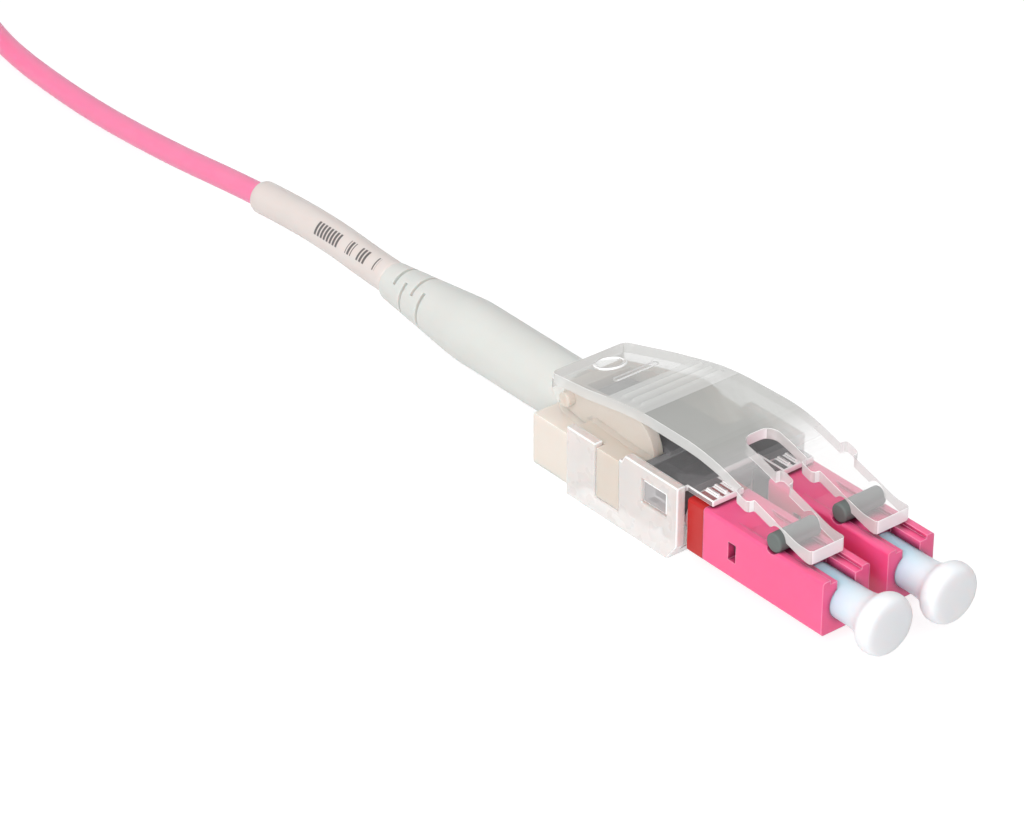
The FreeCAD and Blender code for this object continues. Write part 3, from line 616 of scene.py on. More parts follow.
FINISHES: dict[str, Finish] = {
    # Moulded polycarbonate is glassy and colourless, with a white bloom that the veil adds, and a
    # painted white highlight where the veil is strongest.
    "clear_shell": Clear(
        "polycarbonate_clear", "#FFFFFF", "#F4F4F3", 0.2, coat=0.5, mist="#CBCCC8"
    ),
    # The housing's polycarbonate is frosted, so that light spreads in it and it looks warm.
    "frosted_shell": Clear(
        "polycarbonate_frosted", "#FAEEEA", "#F5E5E0", 0.28, glow_mm=0.4, coat=0.6
    ),
    # The thin deck is polished like a window and shows a painted white highlight only along its
    # edges.
    "deck_shell": Clear(
        "polycarbonate_polished", "#F2F2F3", "#E8E8E9", 0.12, coat=0.8, mist="#BFBCBD"
    ),
    # ABS moulded in a spark-eroded tool has a dull, even grain. Its dark grey is partly the ABS
    # and partly painted shade, standing for the dark inside of the housing seen through the clear
    # deck.
    "carrier": Finish(
        "abs_grey_grained", "#808083", "#5C5C5E", 0.5, patch_mm=1.1, relief_mm=0.006
    ),
    # Uncoloured nylon is cream, waxy and lets a little light in.
    "yoke": Finish("nylon_natural", "#DFD5CA", "#D7CCC0", 0.38, glow_mm=0.5),
    # The same nylon in a thicker wall, bleached, is paler and glows deeper.
    "rear_block": Finish("nylon_pale", "#EBE2D9", "#E4DBD1", 0.4, glow_mm=0.6),
    # Soft PVC for the boot is matt and slightly greenish white.
    "boot": Finish("pvc_soft_white", "#DEDFDB", "#D6D7D3", 0.5, relief_mm=0.004, glow_mm=0.5),
    # Nickel-plated brass shows fine turning rings under a warm white shine.
    "crimp": Turned("brass_nickel_plated", "#C9C7C1", "#BDBAB4", 0.3),
    # PBT moulded in magenta is dense, with a satin skin; its corners carry a painted highlight and
    # its slots painted shade.
    "plug": BrightEdged(
        "pbt_magenta",
        "#F95F97",
        "#F4578F",
        0.34,
        glow_mm=0.15,
        coat=0.3,
        edge_light="#FFA6C4",
        cavity="#7E1440",
    ),
    # PBT in full red is opaque and shows hardly any gloss.
    "collar_red": Finish("pbt_red", "#C41511", "#B2110E", 0.42, coat=0.04),
    # The same PBT in black gives only a satin highlight.
    "collar_black": Finish("pbt_black", "#1B1B1D", "#131314", 0.35, coat=0.3),
    # Thin pink nylon lets the light through, so that it looks nearly white.
    "barrel": Finish("nylon_rose", "#F7D3D6", "#F2C9CE", 0.4, glow_mm=0.4),
    # The latch bars are glass-filled nylon, which is matt and grey-green.
    "latch_bar": Finish("nylon_glass_filled", "#6F7774", "#656D6A", 0.75),
    # Drawn spring steel is bright and nearly mirror-like.
    "spring": Turned("steel_spring_drawn", "#D0D0D2", "#C2C2C5", 0.22),
    # The fibre's extruded nylon buffer is milky and smooth.
    "fibre": Finish("nylon_buffer", "#F3F2EA", "#EAE8DE", 0.35, glow_mm=0.2),
    # Ground zirconia is white, hard-edged and glossier than any of the plastics.
    "ferrule": Finish(
        "zirconia_ground", "#F7F6F0", "#F1F0E9", 0.1, glow_mm=0.3, coat=1.0, ior=2.1
    ),
    # Turned stainless steel is a warm grey with a soft, ringed shine.
    "holder": Turned("steel_stainless_turned", "#CFCBC2", "#C4C0B6", 0.28),
    # Low-density polyethylene is milky and waxy, so that the cap glows and has soft edges.
    "dust_cap": SoftCap(
        "polyethylene_soft", "#F4F5F8", "#EEEFF3", 0.45, glow_mm=0.7, coat=0.15, ior=1.42
    ),
    # The jacket is extruded LSZH compound, smooth but dull along its length.
    "cord": CordJacket("lszh_pink_extruded", "#FF88B0", "#FB80A9", 0.48, glow_mm=0.3),
    # Heat-shrunk polyolefin has a tight, faintly creased skin.
    "sleeve": PrintedSleeve("polyolefin_shrunk", "#E3DAD6", "#DCD3CE", 0.42, glow_mm=0.3),
    # A woven nylon strap soaks up light between its ribs and has a fuzzy sheen.
    "tie": WovenStrap("nylon_strap_woven", "#29292B", "#1F1F21", 0.85),
}


class Palette:
    """Makes each material once and hands it out by the record's slot name."""

    def __init__(self) -> None:
        """Starts with nothing made."""
        self.made: dict[str, bpy.types.Material] = {}

    def get(self, slot: str) -> bpy.types.Material:
        """The material of a slot.

        Args:
            slot: the slot's name in the record.

        Returns:
            The material, made now if it wasn't yet.
        """
        if slot not in self.made:
            self.made[slot] = FINISHES[slot].build()
        return self.made[slot]

    def dress(self, obj: bpy.types.Object, slot: str) -> None:
        """Gives an object a slot's material as its only one."""
        obj.data.materials.clear()
        obj.data.materials.append(self.get(slot))


PALETTE = Palette()
SLOT_OF = {part["node"]: part["material_slot"] for part in frame["record"]["subparts"]}


# ------------------------------------------------------------------ meshes


def body_of(node: str) -> str:
    """Name of the body that holds a CAD node."""
    groups = frame["record"]["behaviour"]["bodies"]
    return next(body for body, members in groups.items() if node in members)


def sharp_edges(work: Mesh, degrees: float) -> list[Edge]:
    """Edges whose two faces turn by more than that."""
    limit = math.radians(degrees)
    return [edge for edge in work.edges if edge.is_manifold and edge.calc_face_angle() > limit]


def outline_edges(work: Mesh) -> list[Edge]:
    """The edges round a slab's two broad faces, where it turns by a right angle."""
    square = sharp_edges(work, degrees=60)
    return [edge for edge in square if edge.verts[0].co.z == edge.verts[1].co.z]


def break_edges(work: Mesh, edges: Iterable[Edge], width: float, segments: int = 3) -> None:
    """Rounds edges.

    Args:
        work: the mesh.
        edges: the edges to round.
        width: how far the rounding reaches from an edge, in metres.
        segments: number of facets across it.
    """
    bmesh.ops.bevel(
        work,
        geom=list(edges),
        offset=width,
        offset_type="OFFSET",
        segments=segments,
        profile=0.5,
        affect="EDGES",
        clamp_overlap=True,
        material=-1,
    )


def cut(work: Mesh, spot: Vector, normal: Vector) -> None:
    """Adds edges where a plane crosses the mesh."""
    everything = work.verts[:] + work.edges[:] + work.faces[:]
    bmesh.ops.bisect_plane(work, geom=everything, dist=1e-6 * MM, plane_co=spot, plane_no=normal)


def combined(work: Mesh, other: Mesh, how: Join) -> Mesh:
    """Joins or cuts one closed mesh with another; both are freed.

    Args:
        work: the mesh to keep.
        other: the mesh to add or to take away.
        how: which of the two.

    Returns:
        The result.
    """
    objects = []
    for name, mesh in (("kept", work), ("tool", other)):
        data = bpy.data.meshes.new(name)
        mesh.to_mesh(data)
        mesh.free()
        objects.append(bpy.data.objects.new(name, data))
        bpy.context.collection.objects.link(objects[-1])
    modifier = objects[0].modifiers.new("cut", "BOOLEAN")
    modifier.object, modifier.operation, modifier.solver = objects[1], how.value, "EXACT"
    result = bmesh.new()
    result.from_object(objects[0], bpy.context.evaluated_depsgraph_get())
    for item in objects:
        bpy.data.meshes.remove(item.data)
    return result


def slab(outline: Sequence[Pair], thickness: float) -> Mesh:
    """A flat plate on XY that rises from Z = 0, for shaping further.

    Args:
        outline: its corners, in millimetres.
        thickness: its thickness, in millimetres.

    Returns:
        The mesh, in metres.
    """
    work = bmesh.new()
    corners = [work.verts.new((x * MM, y * MM, 0.0)) for x, y in outline]
    base = work.faces.new(corners)
    base.normal_update()
    if base.normal.z > 0:
        base.normal_flip()
    grown = bmesh.ops.extrude_face_region(work, geom=[base], use_keep_orig=True)
    risen = [item for item in grown["geom"] if isinstance(item, bmesh.types.BMVert)]
    bmesh.ops.translate(work, verts=risen, vec=(0.0, 0.0, thickness * MM))
    bmesh.ops.recalc_face_normals(work, faces=work.faces)
    return work


def rounded(corners: Sequence[Triple], closed: bool = True) -> list[Pair]:
    """Puts an arc at each corner of an outline.

    Args:
        corners: x, y and the arc's radius of each corner, in millimetres.
        closed: whether the last corner joins the first.

    Returns:
        The outline's points.
    """
    facet = 15.0
    spots = [Vector(corner[:2]) for corner in corners]
    points: list[Pair] = []
    for index, (spot, corner) in enumerate(zip(spots, corners)):
        before, after = spots[index - 1], spots[(index + 1) % len(spots)]
        open_end = not closed and index in (0, len(spots) - 1)
        if corner[2] == 0 or open_end:
            points.append(tuple(spot))
            continue
        back, ahead = (before - spot).normalized(), (after - spot).normalized()
        half = back.angle(ahead) / 2
        # Two arcs on one side never take more than their half of it.
        room = min((before - spot).length, (after - spot).length) / 2.01
        run = min(corner[2] / math.tan(half), room)
        radius = run * math.tan(half)
        middle = spot + (back + ahead).normalized() * radius / math.sin(half)
        first, last = spot + back * run - middle, spot + ahead * run - middle
        steps = max(2, round(math.degrees(first.angle(last)) / facet))
        for step in range(steps + 1):
            spoke = first.slerp(last, step / steps).normalized() * radius
            points.append(tuple(middle + spoke))
    return points


def spun(work: Mesh, profile: Iterable, centre: Vector, axis: Vector, steps: int) -> None:
    """Turns a profile a full turn into a closed skin that faces outwards.

    Args:
        work: the mesh that holds the profile.
        profile: its vertices and edges.
        centre: a point on the axis.
        axis: the axis' direction.
        steps: number of facets round it.
    """
    bmesh.ops.spin(
        work,
        geom=list(profile),
        cent=centre,
        axis=axis,
        angle=2 * math.pi,
        steps=steps,
        use_merge=True,
    )
    bmesh.ops.remove_doubles(work, verts=work.verts, dist=0.0001 * MM)
    bmesh.ops.recalc_face_normals(work, faces=work.faces)


def veil(work: Mesh, strength: Callable[[Face], float]) -> None:
    """Marks how strong a clear piece's white veil is on each face.

    Args:
        work: the mesh.
        strength: gives a face's strength, from 0 to 1.
    """
    layer = work.faces.layers.float.new(VEIL)
    for face in work.faces:
        face.normal_update()
        face[layer] = strength(face)


def shade(work: Mesh) -> None:
    """Makes a mesh smooth over curves and fillets, and crisp where a broad flat face begins.

    Args:
        work: the mesh.
    """
    flat, fillet, alike = 3.0, 42.0, 0.15
    for face in work.faces:
        face.smooth = True
    for edge in work.edges:
        turn = math.degrees(edge.calc_face_angle(0.0)) if edge.is_manifold else 180.0
        areas = sorted(face.calc_area() for face in edge.link_faces)
        even = len(areas) == 2 and areas[0] > alike * areas[1]
        edge.smooth = turn < flat or (turn < fillet and even)


def add_piece(work: Mesh, name: str, node: str) -> bpy.types.Object:
    """Makes the finished piece that stands in for a CAD node.

    Args:
        work: the mesh, in metres in the frame; it is freed.
        name: the piece's name.
        node: the CAD node whose body and material it takes.

    Returns:
        The new object.
    """
    shade(work)
    mesh = bpy.data.meshes.new(name)
    work.to_mesh(mesh)
    work.free()
    piece = bpy.data.objects.new(name, mesh)
    bpy.context.collection.objects.link(piece)
    PALETTE.dress(piece, SLOT_OF[node])
    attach(piece, body_of(node))
    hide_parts(node)
    return piece


# --------------------------------------------------------------- connector


@dataclass(frozen=True)
class End:
    """One of the cord's two connectors.

    Attributes:
        prefix: what its nodes' names start with.
        place: turns the near connector's coordinates into this one's.
    """

    prefix: str
    place: Matrix

    @classmethod
    def near(cls) -> "End":
        """The near connector, which the frame is drawn on."""
        return cls("", Matrix.Identity(4))

    @classmethod
    def far(cls) -> "End":
        """The far connector, turned half a turn; its shift is read from the two housings.

        Returns:
            The far end.
        """
        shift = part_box("housing")[0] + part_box("far_housing")[1]
        turned = Matrix.Rotation(math.pi, 4, "Z")
        return cls("far_", Matrix.Translation((shift.x, shift.y, 0.0)) @ turned)


@dataclass(frozen=True)
class Moulding:
    """A CAD moulding finished for show: joined up, rounded, smooth where it is curved.

    Attributes:
        node: the CAD node.
        edge_mm: width of the rounding on its edges; 0 where the CAD has them rounded.
        sharp: turn in degrees from which an edge is rounded.
    """

    node: str
    edge_mm: float = 0.0
    sharp: float = 28.0

    def build(self) -> bpy.types.Object:
        """Finishes a copy of the node's mesh.

        Returns:
            The new object.
        """
        work = self.copied()
        if self.edge_mm:
            break_edges(work, sharp_edges(work, self.sharp), self.edge_mm * MM)
        self.add_veil(work)
        return add_piece(work, self.node + "_moulding", self.node)

    def copied(self) -> Mesh:
        """Joins the loose triangles of the node's mesh, and makes each flat stretch one face.

        Returns:
            The copy.
        """
        touching, flat = 0.0002 * MM, math.radians(0.5)
        work = bmesh.new()
        work.from_mesh(frame["nodes"][self.node].data)
        bmesh.ops.remove_doubles(work, verts=work.verts, dist=touching)
        bmesh.ops.dissolve_limit(work, angle_limit=flat, verts=work.verts, edges=work.edges)
        return work

    def add_veil(self, work: Mesh) -> None:
        """Marks a clear moulding's veil; an opaque one has none."""


@dataclass(frozen=True)
class ClearMoulding(Moulding):
    """A clear moulding; its roundings, where the light gathers, get a painted white highlight.

    Attributes:
        level: strength of the veil on faces that look up or down.
        across: strength on faces that look to a side.
        ahead: strength on faces that look forwards or back, strong enough to paint them white, a
            painted highlight.
        rim: strength on roundings, which paints them white: a painted highlight.
        squareness: least cosine to an axis of a face that is no rounding.
    """

    level: float = 0.5
    across: float = 0.5
    ahead: float = 1.0
    rim: float = 0.95
    squareness: float = 0.97

    def add_veil(self, work: Mesh) -> None:
        """Marks the veil by the way that each face looks and by its place in the node's box."""
        low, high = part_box(self.node)
        veil(work, lambda face: self.haze(face, low, high))

    def is_rim(self, face: Face) -> bool:
        """Whether a face belongs to a rounding."""
        return max(abs(value) for value in face.normal) < self.squareness

    def haze(self, face: Face, low: Vector, high: Vector) -> float:
        """Strength of the veil on a face.

        Args:
            face: the face.
            low: the lowest corner of the node's box; not used.
            high: its highest corner; not used.

        Returns:
            The strength, from 0 to 1.
        """
        if self.is_rim(face):
            return self.rim
        x, y, _ = (abs(value) for value in face.normal)
        square = 0.9
        return self.ahead if x > square else self.across if y > square else self.level


@dataclass(frozen=True)
class Housing(ClearMoulding):
    """The frosted housing, whose rims carry a painted white highlight outside and a dimmer one
    round the walls' openings.

    Attributes:
        opening: strength of the veil round the openings.
        margins_mm: how far from its ends, its underside and its top the openings lie.
    """

    edge_mm: float = 0.16
    level: float = 0.55
    across: float = 0.68
    ahead: float = 0.75
    opening: float = 0.62
    margins_mm: Triple = (0.5, 1.0, 0.8)

    def haze(self, face: Face, low: Vector, high: Vector) -> float:
        """Strength of the veil on a face.

        Args:
            face: the face.
            low: the lowest corner of the node's box.
            high: its highest corner.

        Returns:
            The strength, from 0 to 1.
        """
        x, _, z = face.calc_center_median()
        ends, under, top = (margin * MM for margin in self.margins_mm)
        in_wall = low.x + ends < x < high.x - ends and low.z + under < z < high.z - top
        return self.opening if in_wall and self.is_rim(face) else super().haze(face, low, high)


@dataclass(frozen=True)
class Deck(ClearMoulding):
    """The polished deck: clear on top and at the rear, greyish on its tabs and combs.

    Attributes:
        rear: strength of the veil on the rear edge.
        rear_mm: how far that edge reaches.
    """

    edge_mm: float = 0.1
    level: float = 0.16
    rear: float = 0.08
    rear_mm: float = 0.15

    def haze(self, face: Face, low: Vector, high: Vector) -> float:
        """Strength of the veil on a face.

        Args:
            face: the face.
            low: the lowest corner of the node's box.
            high: its highest corner.

        Returns:
            The strength, from 0 to 1.
        """
        back = high.x if self.node.startswith("far_") else low.x
        at_back = abs(face.calc_center_median().x - back) < self.rear_mm * MM
        return self.rear if at_back else super().haze(face, low, high)


# Width of the rounding on the edges of the other mouldings that the CAD has sharp.
EDGE_MM = {"carrier": 0.12, "latch_bar": 0.14}
# Kinds of node that keep their CAD mesh, or have a piece of their own.
NOT_MOULDED = (
    "fibre", "spring", "crimp", "cord", "hank_tie", "label_sleeve", "latch_cover", "dust_cap"
)


def moulding_of(node: str) -> Moulding:
    """The moulding that a CAD node is shown as.

    Args:
        node: the CAD node.

    Returns:
        The moulding, not yet built.
    """
    kind = node.removeprefix("far_").removesuffix("_right").removesuffix("_left")
    clear = {"housing": Housing, "deck_plate": Deck}
    return clear[kind](node) if kind in clear else Moulding(node, EDGE_MM.get(kind, 0.0))


@dataclass(frozen=True)
class Cap:
    """A soft dust cap: a tube over the ferrule that flares into a round flange.

    Lengths are in millimetres; x is measured from the plug's nose.

    Attributes:
        end: the connector that it belongs to.
        side: the plug that it closes.
        flare: x of each ring from the tube to the flange's face, and its share of the way
            from the tube's radius to the flange's.
        tube: radius of the tube.
        bore: radius of its bore.
        bore_end: x of the end of the bore.
        bore_tip: length of the bore's pointed end.
        lip: width of the chamfer on the tube's end.
        bore_lip: width of the chamfer on the bore's end.
        sides: number of facets round it.
    """

    end: End
    side: Side
    flare: tuple[Pair, ...] = (
        (0.9, 0.0),
        (1.6, 0.03),
        (2.1, 0.1),
        (2.5, 0.22),
        (2.8, 0.4),
        (3.05, 0.62),
        (3.25, 0.82),
        (3.45, 0.94),
        (3.65, 1.0),
        (3.95, 1.0),
        (4.2, 0.96),
        (4.4, 0.87),
        (4.55, 0.73),
        (4.64, 0.5),
        (4.68, 0.15),
    )
    tube: float = 1.475
    bore: float = 0.645
    bore_end: float = 2.0
    bore_tip: float = 0.2
    lip: float = 0.1
    bore_lip: float = 0.05
    sides: int = 64

    def build(self) -> bpy.types.Object:
        """Turns the cap's outline round its axis.

        Returns:
            The new object.
        """
        node = "dust_cap_" + self.side.word
        low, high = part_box(node)
        centre = Vector((0.0, (low.y + high.y) / 2, 0.0))
        work = bmesh.new()
        outline = self.outline(low.x / MM, high.z / MM)
        verts = [work.verts.new((x * MM, centre.y, radius * MM)) for x, radius in outline]
        edges = [work.edges.new(pair) for pair in zip(verts, verts[1:])]
        spun(work, verts + edges, centre, Vector((1.0, 0.0, 0.0)), self.sides)
        bmesh.ops.transform(work, matrix=self.end.place, verts=work.verts)
        return add_piece(work, f"{self.end.prefix}{node}_soft", self.end.prefix + node)

    def outline(self, back: float, flange: float) -> list[Pair]:
        """The cap's half section, from the flange's middle round to the bore's end.

        Args:
            back: x of the tube's end.
            flange: radius of the flange.

        Returns:
            x and radius of each point.
        """
        wider = flange - self.tube
        return [
            (self.flare[-1][0], 0.0),
            *((x, self.tube + wider * share) for x, share in reversed(self.flare)),
            (back + self.lip, self.tube),
            (back, self.tube - self.lip),
            (back, self.bore + self.bore_lip),
            (back + self.bore_lip, self.bore),
            (self.bore_end, self.bore),
            (self.bore_end + self.bore_tip, 0.0),
        ]


@dataclass(frozen=True)
class Bent:
    """A height along X that is straight between knots and bends softly at them.

    Attributes:
        knots: x and z of the knots, in millimetres, from the rear to the front.
        soft: how far each bend reaches, for the knots between the ends.
    """

    knots: tuple[Pair, ...]
    soft: tuple[float, ...]

    def at(self, x: float) -> float:
        """The height at some x.

        Args:
            x: the place, in millimetres.

        Returns:
            The height, in millimetres.
        """
        slopes = [(b[1] - a[1]) / (b[0] - a[0]) for a, b in zip(self.knots, self.knots[1:])]
        height = self.knots[0][1] + slopes[0] * (x - self.knots[0][0])
        bends = zip(self.knots[1:], slopes, slopes[1:], self.soft)
        for (bend, _), before, after, reach in bends:
            gone = x - bend
            near = abs(gone) < reach
            ramp = (gone + reach) ** 2 / (4 * reach) if near else max(gone, 0.0)
            height += (after - before) * ramp
        return height


@dataclass(frozen=True)
class CoverHaze:
    """Strengths of the cover's veil, and where they change, in millimetres.

    Attributes:
        skirt: on the skirts.
        rib: on the grip ribs and just round them, which paints a faint white highlight along them.
        rear: on the plate behind rear_fade.
        middle: on the plate between the two fades.
        arm: on the arms, ahead of arm_fade.
        rear_fade: x between which the plate gets stronger.
        arm_fade: x between which it gets clear.
        rim: on roundings, which paints them white: a painted highlight.
        end: on the ends, which look forwards or back; it paints them white, a painted highlight.
        side: on the plate's and the arms' sides, a painted highlight that makes them lighter than
            the top.
    """

    skirt: float = 0.1
    rib: float = 0.7
    rear: float = 0.36
    middle: float = 0.52
    arm: float = 0.2
    rear_fade: Pair = (-25.0, -20.0)
    arm_fade: Pair = (-14.0, -10.0)
    rim: float = 0.92
    end: float = 0.95
    side: float = 0.7

    def plate(self, x: float) -> float:
        """Strength on the plate's and the arms' broad faces.

        Args:
            x: the place along the cover.

        Returns:
            The strength, from 0 to 1.
        """
        back, on_arm = share_between(x, *self.rear_fade), share_between(x, *self.arm_fade)
        plate = self.rear + (self.middle - self.rear) * back
        return plate * (1 - on_arm) + self.arm * on_arm


@dataclass(frozen=True)
class Cover:
    """The one-piece clear latch cover: bent plate, two arms with ears, ribs and skirts.

    Lengths are in millimetres in the near connector's frame.

    Attributes:
        end: the connector that it belongs to.
        thickness: the flat slab's thickness before it is bent between top and under.
        edge: width of the rounding on its edges.
        plan: the left half's corners from the rear to the front and back to the window
            between the arms, each with the radius of its rounding.
        plan_knees: x of the corners where the plan changes its width behind the arms.
        top: height of the plate's top.
        under: height of its underside.
        pitch: distance between the cuts that let the slab bend.
        bar: x and z of the latch bar's axis, and the radius of the room over it.
        ribs: x of the grip ribs.
        rib_half: half their length.
        rib_slope: length of a rib's sloping end.
        rib_width: half the width of a rib's foot.
        rib_height: how far they rise.
        skirt: outline of a side wall, as x, z and the radius of each corner.
        skirt_thickness: thickness of the wall.
        skirt_inset: how far it stands in from the plate's edge.
        pivot: x, z and radius of the hole over the yoke's pivot.
        pivot_reach: length of the tool that cuts both holes.
        pivot_sides: number of facets round a hole.
        ring: x, radius and thickness of the plain raised ring.
        ring_sides: number of facets round its wall, and along it.
        strip: how far ahead of the ring the strip lies, and half its width and length.
        strip_rise: thickness of the strip, and how deep it is sunk in the plate.
        strip_corner: radius of its corners.
        haze: strengths of the veil.
    """

    end: End
    thickness: float = 0.9
    edge: float = 0.12
    plan: tuple[Triple, ...] = (
        (-32.0, 3.6, 0.7),
        (-27.0, 4.3, 0.0),
        (-22.0, 4.6, 0.0),
        (-13.0, 4.775, 0.0),
        (-9.35, 4.775, 0.05),
        (-9.3, 5.4, 0.35),
        (-8.0, 5.4, 0.4),
        (-7.9, 4.775, 0.1),
        (-1.95, 4.775, 0.3),
        (-1.95, 1.475, 0.3),
        (-7.9, 1.475, 0.1),
        (-8.0, 0.85, 0.4),
        (-9.3, 0.85, 0.35),
        (-9.35, 1.475, 0.05),
        (-13.2, 1.475, 1.0),
    )
    plan_knees: Pair = (-27.0, -22.0)
    top: Bent = Bent(
        ((-32.0, 4.0), (-21.2, 6.35), (-13.0, 6.5), (-3.4, 3.62), (-1.95, 3.62)), (2.6, 2.6, 0.5)
    )
    under: Bent = Bent(
        ((-32.0, 3.1), (-21.2, 5.45), (-13.0, 5.55), (-2.6, 2.5), (-1.95, 2.5)), (2.3, 2.3, 0.4)
    )
    pitch: float = 0.55
    bar: Triple = (-5.45, 3.05, 0.9)
    ribs: Triple = (-23.4, -22.35, -21.3)
    rib_half: float = 4.05
    rib_slope: float = 0.3
    rib_width: float = 0.28
    rib_height: float = 0.2
    skirt: tuple[Triple, ...] = (
        (-31.95, 3.6, 0.0),
        (-31.95, 2.5, 0.3),
        (-30.5, 1.2, 0.3),
        (-27.2, 1.2, 0.2),
        (-27.2, 2.5, 0.1),
        (-19.3, 2.5, 0.25),
        (-19.3, 5.75, 2.6),
        (-22.0, 5.75, 0.0),
    )
    skirt_thickness: float = 0.78
    skirt_inset: float = 0.04
    pivot: Triple = (-30.4, 2.3, 0.65)
    pivot_reach: float = 12.0
    pivot_sides: int = 32
    ring: Triple = (-29.4, 1.15, 0.17)
    ring_sides: tuple[int, int] = (12, 40)
    strip: Triple = (3.0, 0.3, 2.1)
    strip_rise: Pair = (0.3, 0.17)
    strip_corner: float = 0.27
    haze: CoverHaze = CoverHaze()

    def build(self) -> bpy.types.Object:
        """Makes the cover as one closed moulding.

        Returns:
            The new object.
        """
        whole = self.bent_plate()
        for mark in (self.raised_ring(), self.raised_strip()):
            bmesh.ops.transform(mark, matrix=self.on_plate(self.ring[0]), verts=mark.verts)
            whole = combined(whole, mark, Join.ADD)
        for side in Side:
            whole = combined(whole, self.skirt_wall(side), Join.ADD)
        whole = combined(whole, self.pivot_holes(), Join.TAKE_AWAY)
        veil(whole, self.strength)
        bmesh.ops.transform(whole, matrix=self.end.place, verts=whole.verts)
        node = self.end.prefix + "latch_cover"
        return add_piece(whole, node + "_moulding", node)

    def bent_plate(self) -> Mesh:
        """The plate: a flat slab with rounded edges, cut into narrow strips and bent.

        Returns:
            The mesh.
        """
        right = [(x, -y, radius) for x, y, radius in reversed(self.plan)]
        work = slab(rounded([*self.plan, *right]), self.thickness)
        break_edges(work, outline_edges(work), self.edge * MM)
        for x in self.stations():
            cut(work, Vector((x * MM, 0, 0)), Vector((1, 0, 0)))
        for y in (self.rib_half, self.rib_half - self.rib_slope):
            for side in Side:
                cut(work, Vector((0, side.value * y * MM, 0)), Vector((0, 1, 0)))
        for vert in work.verts:
            x, y, share = vert.co.x / MM, vert.co.y / MM, vert.co.z / (self.thickness * MM)
            low, high = self.floor(x), self.top.at(x) + self.rib(x, y)
            vert.co.z = (low + (high - low) * share) * MM
        return work

    def stations(self) -> list[float]:
        """Where the slab is cut across, closer together at the ribs and over the bar.

        Returns:
            x of each cut.
        """
        bar, _, radius = self.bar
        first, count, arc = -31.7, 54, 15
        even = [first + self.pitch * step for step in range(count)]
        halves = [step * self.rib_width / 2 for step in (-2, -1, 0, 1, 2)]
        ribs = [rib + half for rib in self.ribs for half in halves]
        room = [bar + radius * math.sin(math.radians(turn)) for turn in range(-90, 91, arc)]
        return sorted(ribs + room + even)

    def floor(self, x: float) -> float:
        """Height of the underside at some x, with the round room over the latch bar.

        Args:
            x: the place.

        Returns:
            The height.
        """
        middle, height, radius = self.bar
        inside = radius**2 - (x - middle) ** 2
        low = self.under.at(x)
        return max(low, height + math.sqrt(inside)) if inside > 0 else low

    def rib(self, x: float, y: float) -> float:
        """How far the grip ribs rise above the plate.

        Args:
            x: the place along the cover.
            y: the place across it.

        Returns:
            The height over the plate's top.
        """
        slack = 0.001
        near = min(abs(x - rib) for rib in self.ribs) / self.rib_width
        if near >= 1 or abs(y) >= self.rib_half - slack:
            return 0.0
        return self.rib_height * (1 + math.cos(math.pi * near)) / 2

    def on_plate(self, x: float) -> Matrix:
        """The place on the plate's sloping top.

        Args:
            x: the place along the cover.

        Returns:
            A frame there, with its Z out of the plate.
        """
        step = 0.1
        slope = math.atan2(self.top.at(x + step) - self.top.at(x), step)
        spot = Vector((x, 0.0, self.top.at(x))) * MM
        return Matrix.Translation(spot) @ Matrix.Rotation(-slope, 4, "Y")

    def raised_ring(self) -> Mesh:
        """The plain raised ring, half sunk in the plate.

        Returns:
            The mesh, round the origin.
        """
        _, radius, thick = self.ring
        sides, steps = self.ring_sides
        work = bmesh.new()
        place = Matrix.Translation((radius * MM, 0, 0)) @ Matrix.Rotation(math.pi / 2, 4, "X")
        bmesh.ops.create_circle(work, segments=sides, radius=thick * MM, matrix=place)
        spun(work, work.verts[:] + work.edges[:], Vector((0, 0, 0)), Vector((0, 0, 1)), steps)
        return work

    def raised_strip(self) -> Mesh:
        """The plain raised strip across the plate ahead of the ring.

        Returns:
            The mesh, with the ring's middle at the origin.
        """
        ahead, half, long = self.strip
        rise, sunk = self.strip_rise
        back, front = ahead - half, ahead + half
        corners = [(back, -long), (front, -long), (front, long), (back, long)]
        work = slab(rounded([(*corner, self.strip_corner) for corner in corners]), rise)
        bmesh.ops.translate(work, verts=work.verts, vec=(0, 0, -sunk * MM))
        return work

    def skirt_wall(self, side: Side) -> Mesh:
        """One side wall, drawn flat, stood up and leant along the plate's edge.

        Args:
            side: which of the two.

        Returns:
            The mesh.
        """
        work = slab(rounded(self.skirt), self.skirt_thickness)
        break_edges(work, outline_edges(work), self.edge * MM, segments=2)
        for x in self.plan_knees:
            cut(work, Vector((x * MM, 0, 0)), Vector((1, 0, 0)))
        for vert in work.verts:
            x, height, depth = vert.co
            inner = (self.half_width(x / MM) - self.skirt_inset - self.skirt_thickness) * MM
            vert.co = Vector((x, side.value * (inner + depth), height))
        bmesh.ops.recalc_face_normals(work, faces=work.faces)
        return work

    def half_width(self, x: float) -> float:
        """Half the plate's width behind the arms.

        Args:
            x: the place along the cover.

        Returns:
            The distance from the middle to the plate's edge.
        """
        rear = self.plan[:4]
        for (x0, y0, _), (x1, y1, _) in zip(rear, rear[1:]):
            if x <= x1:
                break
        return y0 + (y1 - y0) * (x - x0) / (x1 - x0)

    def pivot_holes(self) -> Mesh:
        """The tool that cuts the holes over the yoke's two pivots.

        Returns:
            The mesh.
        """
        x, z, radius = self.pivot
        place = Matrix.Translation(Vector((x, 0, z)) * MM) @ Matrix.Rotation(math.pi / 2, 4, "X")
        work = bmesh.new()
        bmesh.ops.create_cone(
            work,
            cap_ends=True,
            segments=self.pivot_sides,
            radius1=radius * MM,
            radius2=radius * MM,
            depth=self.pivot_reach * MM,
            matrix=place,
        )
        return work

